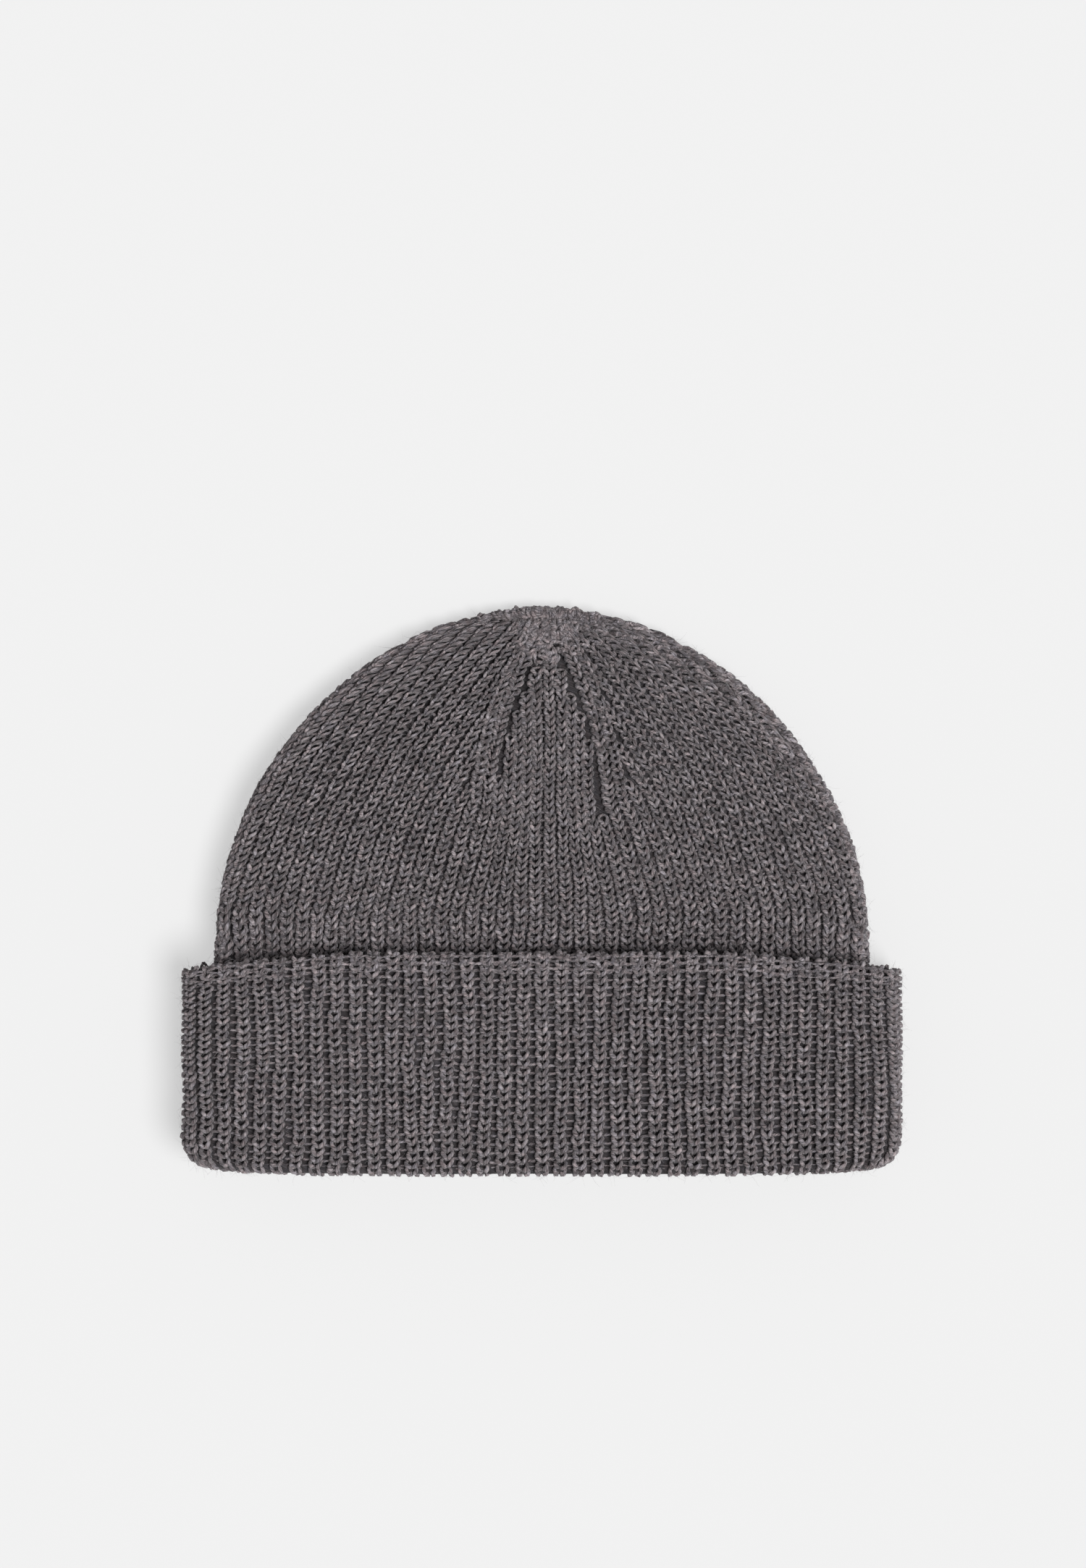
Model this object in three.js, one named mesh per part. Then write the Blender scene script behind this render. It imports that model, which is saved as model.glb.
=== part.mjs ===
// Ribbed knit beanie with a turned-up cuff, lying flat on its back. Millimetres, +Z up.
//
// +X is the hat's width and +Y runs from the mouth to the crown. The origin is under the middle
// of the hat's box, on the surface it lies on. Lengths along the hat are counted from the cuff's
// folded lower edge, and called "up": up = 0 at that edge and HAT_HEIGHT at the crown.

import * as THREE from 'three';
import { mergeVertices } from 'three/addons/utils/BufferGeometryUtils.js';

// Driving dimensions of the flat hat
const CUFF_WIDTH = 225.2;
const HAT_HEIGHT = 179.4;
const CUFF_HEIGHT = 70.5;
const CUFF_THICKNESS = 36;
const BODY_WIDTH = 207;
const BODY_THICKNESS = 26;
const CROWN_EDGE_THICKNESS = 11;

// The knit and the room between its layers
const WALL = 4.5;
const GAP = 0.3;
const SEAM_ROOM = 1.8;

// Shape of the outline and of the cross-sections
const SHOULDER_UP = 70;
const CROWN_POWER = 1.78;
const TOP_POWER = 4;
const UNDER_POWER = 8;
const UNDER_PRESS = 1.02;
const THINNING_POWER = 3;
const EDGE_ROUND_POWER = 16;
const CROWN_WALL = 6;
const TUCKED_EXTRA = 2.5;
const TUCK_LENGTH = 16;
const CUFF_CORNER = 10;
const CUFF_EDGE_BOW = 2.5;
const CUFF_BOW_POWER = 6;

// Where the underside settles on the surface and the front sinks past the cuff's edge
const DROP_START = 72;
const DROP_LENGTH = 16;
const SINK_START = 66;
const SINK_LENGTH = 26;

// Seams, crown and label
const SEAM_RADIUS = 1.2;
const SEAM_CLEARANCE = 0.6;
const FLAT_SEAM_WIDTH = 5;
const FLAT_SEAM_THICKNESS = 1.2;
const DART_BASE_UP = 117.7;
const DART_LENGTH = 55.8;
const DART_BASE_HALF = 20.4;
const DART_TAPER_POWER = 1.6;
const DART_CENTRE_SHIFT = 2;
const DRAW_RING_UP = 163;
const DRAW_RING_RADIUS = 4;
const DRAW_YARN_RADIUS = 0.9;
const KNOT_UP = 153;
const LABEL_LENGTH = 40;
const LABEL_WIDTH = 26;
const LABEL_LEAF = 0.5;
const LABEL_SLOT = 0.4;
const LABEL_FROM_SEAM = 3.1;
const LABEL_UP = 101.5;
const STITCH_RADIUS = 0.3;
const STITCH_FROM_SEAM = 2.1;

// Fineness of the meshes
const SECTION_POINTS = 56;
const SEAM_SIDES = 8;

const WOOL = { color: 0x585355, roughness: 0.95, metalness: 0 };
const DARK_WOOL = { color: 0x4a4648, roughness: 0.95, metalness: 0 };
const SATIN = { color: 0xe9e7e2, roughness: 0.45, metalness: 0 };

function smooth(value) {
  const t = THREE.MathUtils.clamp(value, 0, 1);
  return t * t * (3 - 2 * t);
}

function yAt(up) {
  return up - HAT_HEIGHT / 2;
}

// The cuff's two edges draw towards its middle at the sides.
function bowedUp(x, up) {
  const side = Math.min(Math.abs(x) / (CUFF_WIDTH / 2), 1);
  const share = Math.max(1 - up / (CUFF_HEIGHT / 2), -1);
  const fade = 1 - smooth((up - CUFF_HEIGHT) / TUCK_LENGTH);
  return up + CUFF_EDGE_BOW * side ** CUFF_BOW_POWER * share * fade;
}

// Outline and height of the crown and sides at one station, inset from the outer face.
function bodyStation(up, inset = 0) {
  const crownInset = (CROWN_WALL * inset) / WALL;
  const crown = (up - SHOULDER_UP) / (HAT_HEIGHT - SHOULDER_UP - crownInset);
  const t = THREE.MathUtils.clamp(crown, 0, 1);
  const taper = Math.sqrt(1 - t ** CROWN_POWER);
  const tucked = TUCKED_EXTRA * smooth((SHOULDER_UP - up) / TUCK_LENGTH);
  const cuffLow = WALL + SEAM_ROOM;
  const cuffHigh = CUFF_THICKNESS - WALL - GAP;
  const low = cuffLow * (1 - smooth((up - DROP_START) / DROP_LENGTH));
  const sunk = smooth((up - SINK_START) / SINK_LENGTH);
  const thinned = (BODY_THICKNESS - CROWN_EDGE_THICKNESS) * t ** THINNING_POWER;
  const high = cuffHigh + (BODY_THICKNESS - cuffHigh) * sunk - thinned;
  const middle = (low + high) / 2;
  const half = ((high - low) / 2 - inset) * Math.sqrt(1 - t ** EDGE_ROUND_POWER);
  return {
    up,
    halfWidth: (BODY_WIDTH / 2 - inset) * taper + tucked,
    low: middle - half,
    high: middle + half,
  };
}

// The same for the cuff, whose lower corners are rounded.
function cuffStation(up, inset = 0) {
  const fromCorner = Math.max(CUFF_CORNER - up, 0);
  const rounding = CUFF_CORNER - Math.sqrt(CUFF_CORNER ** 2 - fromCorner ** 2);
  return {
    up,
    halfWidth: CUFF_WIDTH / 2 - rounding - inset,
    low: inset,
    high: CUFF_THICKNESS - inset,
  };
}

// Height of the rounded top or of the pressed underside over one point of a station.
function heightAt(station, x, isTop) {
  const across = Math.min(Math.abs(x) / Math.max(station.halfWidth, 1e-9), 1);
  const middle = (station.low + station.high) / 2;
  const half = (station.high - station.low) / 2;
  if (isTop) return middle + half * (1 - across ** TOP_POWER) ** (1 / TOP_POWER);
  const under = UNDER_PRESS * half * (1 - across ** UNDER_POWER) ** (1 / UNDER_POWER);
  return middle - Math.min(under, half);
}

function stationPoints(station) {
  const points = [];
  for (let i = 0; i < SECTION_POINTS; i += 1) {
    const angle = (2 * Math.PI * i) / SECTION_POINTS;
    const x = station.halfWidth * Math.cos(angle);
    const z = heightAt(station, x, i <= SECTION_POINTS / 2);
    points.push(new THREE.Vector3(x, yAt(bowedUp(x, station.up)), z));
  }
  return points;
}

function signedVolume(points, triangles) {
  let total = 0;
  for (const [a, b, c] of triangles) {
    total += points[a].dot(new THREE.Vector3().crossVectors(points[b], points[c])) / 6;
  }
  return total;
}

function solidFrom(points, triangles) {
  if (signedVolume(points, triangles) < 0) triangles.forEach((triangle) => triangle.reverse());
  const geometry = new THREE.BufferGeometry();
  geometry.setFromPoints(points);
  geometry.setIndex(triangles.flat());
  geometry.computeVertexNormals();
  return geometry;
}

function joinRings(triangles, first, second) {
  for (let i = 0; i < SECTION_POINTS; i += 1) {
    const next = (i + 1) % SECTION_POINTS;
    triangles.push([first + i, first + next, second + next]);
    triangles.push([first + i, second + next, second + i]);
  }
}

// A closed skin through a chain of stations that starts and ends in a point.
function skinBetweenPoles(startPole, stations, endPole) {
  const points = stations.flatMap(stationPoints);
  const triangles = [];
  for (let k = 0; k + 1 < stations.length; k += 1) {
    joinRings(triangles, k * SECTION_POINTS, (k + 1) * SECTION_POINTS);
  }
  const start = points.push(startPole) - 1;
  const end = points.push(endPole) - 1;
  const last = (stations.length - 1) * SECTION_POINTS;
  for (let i = 0; i < SECTION_POINTS; i += 1) {
    const next = (i + 1) % SECTION_POINTS;
    triangles.push([start, next, i]);
    triangles.push([end, last + i, last + next]);
  }
  return solidFrom(points, triangles);
}

// A closed skin through a chain of stations that returns to its first one.
function skinAround(stations) {
  const points = stations.flatMap(stationPoints);
  const triangles = [];
  stations.forEach((_, k) => {
    const following = (k + 1) % stations.length;
    joinRings(triangles, k * SECTION_POINTS, following * SECTION_POINTS);
  });
  return solidFrom(points, triangles);
}

// Stations crowd towards the crown's edge, where the outline turns.
function crownUps(start, end, count) {
  const ups = [];
  for (let k = 0; k < count; k += 1) {
    ups.push(start + (end - start) * Math.sin((Math.PI / 2) * (k / count)));
  }
  return ups;
}

// Crown, sides and the layer inside the cuff: one bag, open at the mouth.
function knitBody() {
  const mouth = WALL + 2 * GAP;
  const sides = [mouth + 1.5, 20, 38, 54, 58, 62, 66, SHOULDER_UP, 74, 78, 82, 88];
  const crown = crownUps(92, HAT_HEIGHT, 16);
  const innerTop = HAT_HEIGHT - CROWN_WALL;
  const outer = [...sides, ...crown].map((up) => bodyStation(up));
  const inner = [...sides, ...crownUps(92, innerTop, 12)].map((up) => bodyStation(up, WALL));
  const lip = [
    bodyStation(mouth, 0.25 * WALL),
    bodyStation(mouth, 0.75 * WALL),
  ];
  const edge = bodyStation(HAT_HEIGHT);
  const innerEdge = bodyStation(innerTop, WALL);
  const startPole = new THREE.Vector3(0, yAt(HAT_HEIGHT), (edge.low + edge.high) / 2);
  const endPole = new THREE.Vector3(0, yAt(innerTop), (innerEdge.low + innerEdge.high) / 2);
  return skinBetweenPoles(startPole, [...outer.reverse(), ...lip, ...inner], endPole);
}

// The turned-up rim: an outer layer, its free upper edge, and the fold round the mouth.
function cuffBand() {
  const fold = 2 * WALL + GAP;
  const foldRise = WALL + GAP;
  const top = CUFF_HEIGHT;
  const profile = [];
  for (const up of [11, 22, 38, 54]) profile.push([up, 0]);
  profile.push([top - 1.8, 0], [top - 0.5, 0.16 * WALL], [top, 0.5 * WALL]);
  profile.push([top - 0.5, 0.84 * WALL], [top - 1.8, WALL]);
  for (const up of [54, 38, 22, 11, foldRise]) profile.push([up, WALL]);
  const turns = 8;
  for (let k = 0; k <= turns; k += 1) {
    const angle = (Math.PI * k) / turns;
    const inset = (fold / 2) * (1 + Math.cos(angle));
    profile.push([foldRise * (1 - Math.sin(angle)), inset]);
  }
  return skinAround(profile.map(([up, inset]) => cuffStation(up, inset)));
}

function tube(points, radius, sides, steps, closed = false) {
  const section = new THREE.Shape();
  for (let i = 0; i < sides; i += 1) {
    const angle = (2 * Math.PI * i) / sides;
    const method = i === 0 ? 'moveTo' : 'lineTo';
    section[method](radius * Math.cos(angle), radius * Math.sin(angle));
  }
  section.closePath();
  const extrudePath = new THREE.CatmullRomCurve3(points, closed);
  return new THREE.ExtrudeGeometry(section, { steps, extrudePath, bevelEnabled: false });
}

// A linked ridge inside one layer, along a line x = place(up).
function ridge(place, startUp, endUp, isTop) {
  const points = [];
  const steps = 18;
  const away = (SEAM_RADIUS + SEAM_CLEARANCE) * (isTop ? -1 : 1);
  for (let k = 0; k <= steps; k += 1) {
    const up = startUp + ((endUp - startUp) * k) / steps;
    const x = place(up);
    const z = heightAt(bodyStation(up, WALL), x, isTop) + away;
    points.push(new THREE.Vector3(x, yAt(up), z));
  }
  return tube(points, SEAM_RADIUS, SEAM_SIDES, 24);
}

function dartHalfWidth(up) {
  const along = THREE.MathUtils.clamp((up - DART_BASE_UP) / DART_LENGTH, 0, 1);
  return DART_BASE_HALF * (1 - along ** DART_TAPER_POWER);
}

function dartSeam(side, isTop) {
  const shift = isTop ? DART_CENTRE_SHIFT : 0;
  const place = (up) => shift + side * dartHalfWidth(up);
  return ridge(place, DART_BASE_UP, 156, isTop);
}

// The rim's own seam is linked flat, on the side that faces the layer inside.
function cuffSeam() {
  const length = CUFF_HEIGHT - WALL - 8;
  const strip = new THREE.Shape();
  const half = FLAT_SEAM_WIDTH / 2;
  const top = FLAT_SEAM_THICKNESS;
  strip.moveTo(-half, 0);
  strip.lineTo(half, 0);
  strip.lineTo(half - 0.6, top);
  strip.lineTo(-half + 0.6, top);
  strip.closePath();
  const geometry = new THREE.ExtrudeGeometry(strip, { depth: length, bevelEnabled: false });
  geometry.rotateX(Math.PI / 2);
  geometry.translate(0, yAt(CUFF_HEIGHT - 4), WALL + GAP);
  return geometry;
}

function crownDrawRing() {
  const geometry = new THREE.TorusGeometry(DRAW_RING_RADIUS, DRAW_YARN_RADIUS, 8, 24);
  const station = bodyStation(DRAW_RING_UP, WALL);
  geometry.translate(DART_CENTRE_SHIFT, yAt(DRAW_RING_UP), (station.low + station.high) / 2);
  return geometry;
}

function crownKnot() {
  const geometry = new THREE.TorusKnotGeometry(2.2, 0.6, 48, 6, 2, 3);
  const station = bodyStation(KNOT_UP, WALL);
  geometry.translate(DART_CENTRE_SHIFT, yAt(KNOT_UP), (station.low + station.high) / 2);
  return geometry;
}

// A woven tape folded end to end, its raw ends at the seam.
function careLabel() {
  const thickness = 2 * LABEL_LEAF + LABEL_SLOT;
  const slotEnd = LABEL_LENGTH - LABEL_LEAF;
  const leaf = new THREE.Shape();
  leaf.moveTo(0, 0);
  leaf.lineTo(LABEL_LENGTH - thickness / 2, 0);
  leaf.absarc(LABEL_LENGTH - thickness / 2, thickness / 2, thickness / 2, -Math.PI / 2, Math.PI / 2);
  leaf.lineTo(0, thickness);
  leaf.lineTo(0, thickness - LABEL_LEAF);
  leaf.lineTo(slotEnd - LABEL_SLOT, thickness - LABEL_LEAF);
  leaf.lineTo(slotEnd - LABEL_SLOT, LABEL_LEAF);
  leaf.lineTo(0, LABEL_LEAF);
  leaf.closePath();
  const geometry = new THREE.ExtrudeGeometry(leaf, {
    depth: LABEL_WIDTH,
    bevelEnabled: false,
    curveSegments: 4,
  });
  geometry.rotateX(Math.PI / 2);
  geometry.translate(LABEL_FROM_SEAM, yAt(LABEL_UP) + LABEL_WIDTH / 2, WALL + GAP);
  return geometry;
}

// The tacking thread, a small zigzag beside the label's ends.
function labelStitches() {
  const points = [];
  const stitches = 12;
  for (let k = 0; k <= stitches; k += 1) {
    const x = STITCH_FROM_SEAM + (k % 2 ? 0.15 : -0.15);
    const y = yAt(LABEL_UP) + LABEL_WIDTH * (k / stitches - 0.5);
    points.push(new THREE.Vector3(x, y, WALL + GAP + 2 * STITCH_RADIUS));
  }
  return tube(points, STITCH_RADIUS, 6, 36);
}

const beanie = new THREE.Group();

function addPiece(name, geometry, finish) {
  geometry.deleteAttribute('normal');
  if (geometry.hasAttribute('uv')) geometry.deleteAttribute('uv');
  const welded = mergeVertices(geometry, 1e-4);
  welded.computeVertexNormals();
  const piece = new THREE.Mesh(welded, new THREE.MeshStandardMaterial(finish));
  piece.name = name;
  beanie.add(piece);
}

addPiece('knit_body', knitBody(), WOOL);
addPiece('cuff_band', cuffBand(), WOOL);
addPiece('back_seam', ridge(() => 0, 9, 158, false), DARK_WOOL);
addPiece('cuff_seam', cuffSeam(), DARK_WOOL);
for (const [name, side] of [['left', -1], ['right', 1]]) {
  addPiece(`dart_seam_front_${name}`, dartSeam(side, true), DARK_WOOL);
  addPiece(`dart_seam_back_${name}`, dartSeam(side, false), DARK_WOOL);
}
addPiece('crown_draw_ring', crownDrawRing(), DARK_WOOL);
addPiece('crown_knot', crownKnot(), DARK_WOOL);
addPiece('care_label', careLabel(), SATIN);
addPiece('label_stitches', labelStitches(), SATIN);

export default beanie;
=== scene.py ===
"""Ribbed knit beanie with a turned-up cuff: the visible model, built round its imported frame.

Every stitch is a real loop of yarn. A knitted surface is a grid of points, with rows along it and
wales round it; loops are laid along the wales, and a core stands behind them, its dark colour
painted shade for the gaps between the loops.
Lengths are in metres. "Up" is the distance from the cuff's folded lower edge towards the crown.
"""

import logging
import math
from dataclasses import dataclass, field
from enum import Enum, IntEnum
from typing import Callable, ClassVar, NamedTuple

import bpy
import numpy as np
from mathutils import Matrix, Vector


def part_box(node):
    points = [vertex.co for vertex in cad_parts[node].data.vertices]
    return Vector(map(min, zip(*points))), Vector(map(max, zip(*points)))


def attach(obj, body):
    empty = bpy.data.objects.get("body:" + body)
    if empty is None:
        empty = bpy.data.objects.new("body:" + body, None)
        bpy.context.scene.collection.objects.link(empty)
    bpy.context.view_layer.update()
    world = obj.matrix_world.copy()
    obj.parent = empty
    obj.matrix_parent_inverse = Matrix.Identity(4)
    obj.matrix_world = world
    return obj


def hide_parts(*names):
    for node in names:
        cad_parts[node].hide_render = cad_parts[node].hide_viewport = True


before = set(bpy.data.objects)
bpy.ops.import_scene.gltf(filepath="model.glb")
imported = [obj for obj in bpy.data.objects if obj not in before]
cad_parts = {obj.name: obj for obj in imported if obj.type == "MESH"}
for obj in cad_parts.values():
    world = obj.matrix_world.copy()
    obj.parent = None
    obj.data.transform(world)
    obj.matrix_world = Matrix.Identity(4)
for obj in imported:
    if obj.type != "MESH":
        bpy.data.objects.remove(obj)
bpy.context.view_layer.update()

LOG = logging.getLogger("beanie")
MM = 0.001

# Places round a shell are counted in even parts called wales; KnitGauge holds the real rib counts.
WALES = 84
HALF_WALES = WALES // 2
COLUMNS_PER_WALE = 6
COLUMNS = WALES * COLUMNS_PER_WALE
FRONT_CENTRE = WALES / 4
BACK_CENTRE = 3 * WALES / 4

Array = np.ndarray
Profile = list[tuple[float, float]]
Colour = tuple[float, float, float]
Socket = bpy.types.NodeSocket
Tree = bpy.types.NodeTree
GroupMaker = Callable[[], Tree]


class Layer(Enum):
    """The two shells of the hat that move apart."""

    BODY = "hat"
    CUFF = "cuff"


class Side(Enum):
    """Which half of a flat shell a wale lies on."""

    FRONT = "front"
    BACK = "back"


class Role(IntEnum):
    """What a wale of the body does at the darts."""

    UNSORTED = 0
    CENTRE = 1
    BEFORE_DART = 2
    PAST_DART = 3
    OUTER = 4


class Station(NamedTuple):
    """Half width, lowest and highest point of cross-sections, one value for each row."""

    half_width: Array
    low: Array
    high: Array


def smooth(value: Array) -> Array:
    """Eases a ramp from 0 to 1, and holds it outside that range."""
    t = np.clip(value, 0.0, 1.0)
    return t * t * (3.0 - 2.0 * t)


def node_middle(node: str) -> Array:
    """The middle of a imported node's box."""
    return (np.array(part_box(node)[0]) + np.array(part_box(node)[1])) / 2.0


def unit(vectors: Array) -> Array:
    """Vectors of length one along the last axis."""
    length = np.linalg.norm(vectors, axis=-1, keepdims=True)
    return vectors / np.maximum(length, 1e-12)


@dataclass(frozen=True)
class Ripple:
    """Smooth seeded noise in space, a sum of plane waves.

    Attributes:
        seed: Chooses the waves.
        wavelength: Middle wavelength in metres.
        waves: How many waves are summed.
    """

    seed: int
    wavelength: float
    waves: int = 14

    def at(self, points: Array) -> Array:
        """Noise of about unit spread.

        Args:
            points: Places of shape (..., 3).

        Returns:
            A value for each place.
        """
        rng = np.random.default_rng(self.seed)
        directions = unit(rng.normal(size=(self.waves, 3)))
        lengths = self.wavelength * rng.uniform(0.6, 1.7, self.waves)
        phases = rng.uniform(0.0, 2.0 * math.pi, self.waves)
        total = np.zeros(points.shape[:-1])
        for direction, length, phase in zip(directions, lengths, phases):
            total += np.cos(points @ (direction * (2.0 * math.pi / length)) + phase)
        return total / math.sqrt(self.waves / 2.0)


@dataclass(frozen=True)
class HatForm:
    """Outline, thickness and cross-sections of the flat hat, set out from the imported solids.

    Attributes:
        width, cuff_height, thickness: The cuff's three sizes.
        height: From the folded edge to the crown.
        y_low: Where the folded edge lies along Y.
        body_width: Across the body.
        wall: Thickness of the cloth.
        gap: Room between the cuff and the layer inside it.
        seam_room: Room for the cuff's seam under that layer.
        body_thickness: Height of the body's front above the surface.
        crown_edge: Thickness of the crown at its edge.
        shoulder_up: Where the sides begin to curve in.
        crown_power: Roundness of the crown's outline.
        top_power, under_power: Roundness of the front and of the back across the hat.
        under_press: How far past its ellipse the back is pressed flat.
        thinning_power, edge_round_power: How late the hat thins and its edge closes.
        crown_wall: Thickness of the cloth at the crown's top.
        tucked_extra, tuck_length: Extra half width inside the cuff, and where it fades.
        cuff_corner: Radius of the cuff's lower corners.
        fold_bow, fold_bow_power: Rise of the folded edge at its ends, and how late it comes.
        rim_bow, rim_bow_power: Drop of the free edge at its ends, and how late it comes.
        rim_rise, rim_rise_reach: Rise of its middle, and half the width of that.
        drop_start, drop_length: Where the back comes down above the cuff.
        sink_start, sink_length: Where the front sinks.
        dart_base_up, dart_length: Height of the darts' lower ends, and their length.
        dart_base_half, dart_power: Half the way between the ends, and the darts' curve.
        dart_shift: How far the front ones lie to the right.
    """

    width: float
    height: float
    cuff_height: float
    thickness: float
    y_low: float
    body_width: float
    wall: float = 4.5 * MM
    gap: float = 0.3 * MM
    seam_room: float = 1.8 * MM
    body_thickness: float = 26 * MM
    crown_edge: float = 11 * MM
    shoulder_up: float = 70 * MM
    crown_power: float = 1.87
    top_power: float = 4.0
    under_power: float = 8.0
    under_press: float = 1.02
    thinning_power: float = 3.0
    edge_round_power: float = 16.0
    crown_wall: float = 6 * MM
    tucked_extra: float = 2.5 * MM
    tuck_length: float = 16 * MM
    cuff_corner: float = 12 * MM
    fold_bow: float = 2.5 * MM
    fold_bow_power: float = 6.0
    rim_bow: float = 5.4 * MM
    rim_bow_power: float = 8.0
    rim_rise: float = 1.9 * MM
    rim_rise_reach: float = 55 * MM
    drop_start: float = 72 * MM
    drop_length: float = 16 * MM
    sink_start: float = 66 * MM
    sink_length: float = 26 * MM
    dart_base_up: float = 117.7 * MM
    dart_length: float = 55.8 * MM
    dart_base_half: float = 20.4 * MM
    dart_power: float = 1.6
    dart_shift: float = 2 * MM

    @classmethod
    def from_frame(cls) -> "HatForm":
        """Reads the hat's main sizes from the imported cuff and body.

        Returns:
            The hat's form.
        """
        cuff_low, cuff_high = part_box("cuff_band")
        body_low, body_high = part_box("knit_body")
        tucked = 2.0 * cls.tucked_extra
        return cls(
            width=cuff_high[0] - cuff_low[0],
            height=body_high[1] - cuff_low[1],
            cuff_height=cuff_high[1] - cuff_low[1],
            thickness=cuff_high[2] - cuff_low[2],
            y_low=cuff_low[1],
            body_width=body_high[0] - body_low[0] - tucked,
        )

    def outline_share(self, up: Array, inset: Array) -> Array:
        """How far up the crown a station is, from 0 at the shoulder to 1 at the top."""
        rise = self.height - self.shoulder_up - self.crown_wall * inset / self.wall
        return np.clip((up - self.shoulder_up) / rise, 0.0, 1.0)

    def body_station(self, up: Array, inset: Array) -> Station:
        """Cross-sections of the crown and sides.

        Args:
            up: Distances from the folded edge.
            inset: Depths under the outer face.

        Returns:
            The stations.
        """
        t = self.outline_share(up, inset)
        taper = np.sqrt(1.0 - t**self.crown_power)
        tucked = self.tucked_extra * smooth((self.shoulder_up - up) / self.tuck_length)
        cuff_low = self.wall + self.seam_room
        cuff_high = self.thickness - self.wall - self.gap
        low = cuff_low * (1.0 - smooth((up - self.drop_start) / self.drop_length))
        sunk = smooth((up - self.sink_start) / self.sink_length)
        thinned = (self.body_thickness - self.crown_edge) * t**self.thinning_power
        high = cuff_high + (self.body_thickness - cuff_high) * sunk - thinned
        middle = (low + high) / 2.0
        half = ((high - low) / 2.0 - inset) * np.sqrt(1.0 - t**self.edge_round_power)
        half_width = (self.body_width / 2.0 - inset) * taper + tucked
        return Station(half_width, middle - half, middle + half)

    def cuff_station(self, up: Array, inset: Array) -> Station:
        """Cross-sections of the turned-up rim, whose lower corners are rounded.

        Args:
            up: Distances from the folded edge.
            inset: Depths under the outer face.

        Returns:
            The stations.
        """
        corner = self.cuff_corner
        from_corner = np.clip(corner - up, 0.0, corner)
        rounding = corner - np.sqrt(corner**2 - from_corner**2)
        half_width = self.width / 2.0 - rounding - inset
        return Station(half_width, inset + 0.0 * up, self.thickness - inset + 0.0 * up)

    def station(self, layer: Layer, up: Array, inset: Array) -> Station:
        """Cross-sections of either shell.

        Args:
            layer: Which shell.
            up: Distances from the folded edge.
            inset: Depths under the outer face.

        Returns:
            The stations.
        """
        if layer is Layer.CUFF:
            return self.cuff_station(up, inset)
        return self.body_station(up, inset)

    def bowed(self, x: Array, up: Array) -> Array:
        """Draws the cuff's two edges towards its middle at the sides, and lifts the free edge's middle.

        Args:
            x: Places across the hat.
            up: Distances from the folded edge.

        Returns:
            The moved distances.
        """
        side = np.minimum(np.abs(x) / (self.width / 2.0), 1.0)
        share = np.maximum(1.0 - up / (self.cuff_height / 2.0), -1.0)
        fade = 1.0 - smooth((up - self.cuff_height) / self.tuck_length)
        low = self.fold_bow * side**self.fold_bow_power
        rise = self.rim_rise * (1.0 - smooth((np.abs(x) - self.rim_rise_reach) / (30 * MM)))
        high = self.rim_bow * side**self.rim_bow_power - rise
        return up + np.where(share > 0, low, high) * share * fade

    def height_at(self, station: Station, x: Array, side: Side) -> Array:
        """Height of the rounded front or of the pressed back over points of a station.

        Args:
            station: The cross-section.
            x: Places across it.
            side: Front or back.

        Returns:
            Heights above the surface that the hat lies on.
        """
        across = np.minimum(np.abs(x) / np.maximum(station.half_width, 1e-9), 1.0)
        middle = (station.low + station.high) / 2.0
        half = (station.high - station.low) / 2.0
        if side is Side.FRONT:
            return middle + half * (1.0 - across**self.top_power) ** (1.0 / self.top_power)
        under = half * self.under_press
        under = under * (1.0 - across**self.under_power) ** (1.0 / self.under_power)
        return middle - np.minimum(under, half)

    def dart_half_width(self, up: Array) -> Array:
        """Distance of a dart from the middle of its gore."""
        along = np.clip((up - self.dart_base_up) / self.dart_length, 0.0, 1.0)
        return self.dart_base_half * (1.0 - along**self.dart_power)


@dataclass(frozen=True)
class KnitGauge:
    """Sizes of the knit.

    Attributes:
        row: Distance between rows in the relaxed knit.
        pitch: Distance between the crown's ribs.
        cuff_ribs: Ribs round the stretched cuff.
        body_ribs: Ribs seen round the body.
        depth: How far the loops' middle surface lies under the outer face.
        core_depth: How far the core's outer skin lies under the outer face.
        core_back: The same for its inner skin.
        rib_relief: Half the height between the core's ribs and grooves.
    """

    row: float = 2.29 * MM
    pitch: float = 4.85 * MM
    cuff_ribs: int = 82
    body_ribs: int = 88
    depth: float = 1.65 * MM
    core_depth: float = 3.05 * MM
    core_back: float = 3.8 * MM
    rib_relief: float = 0.4 * MM


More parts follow.
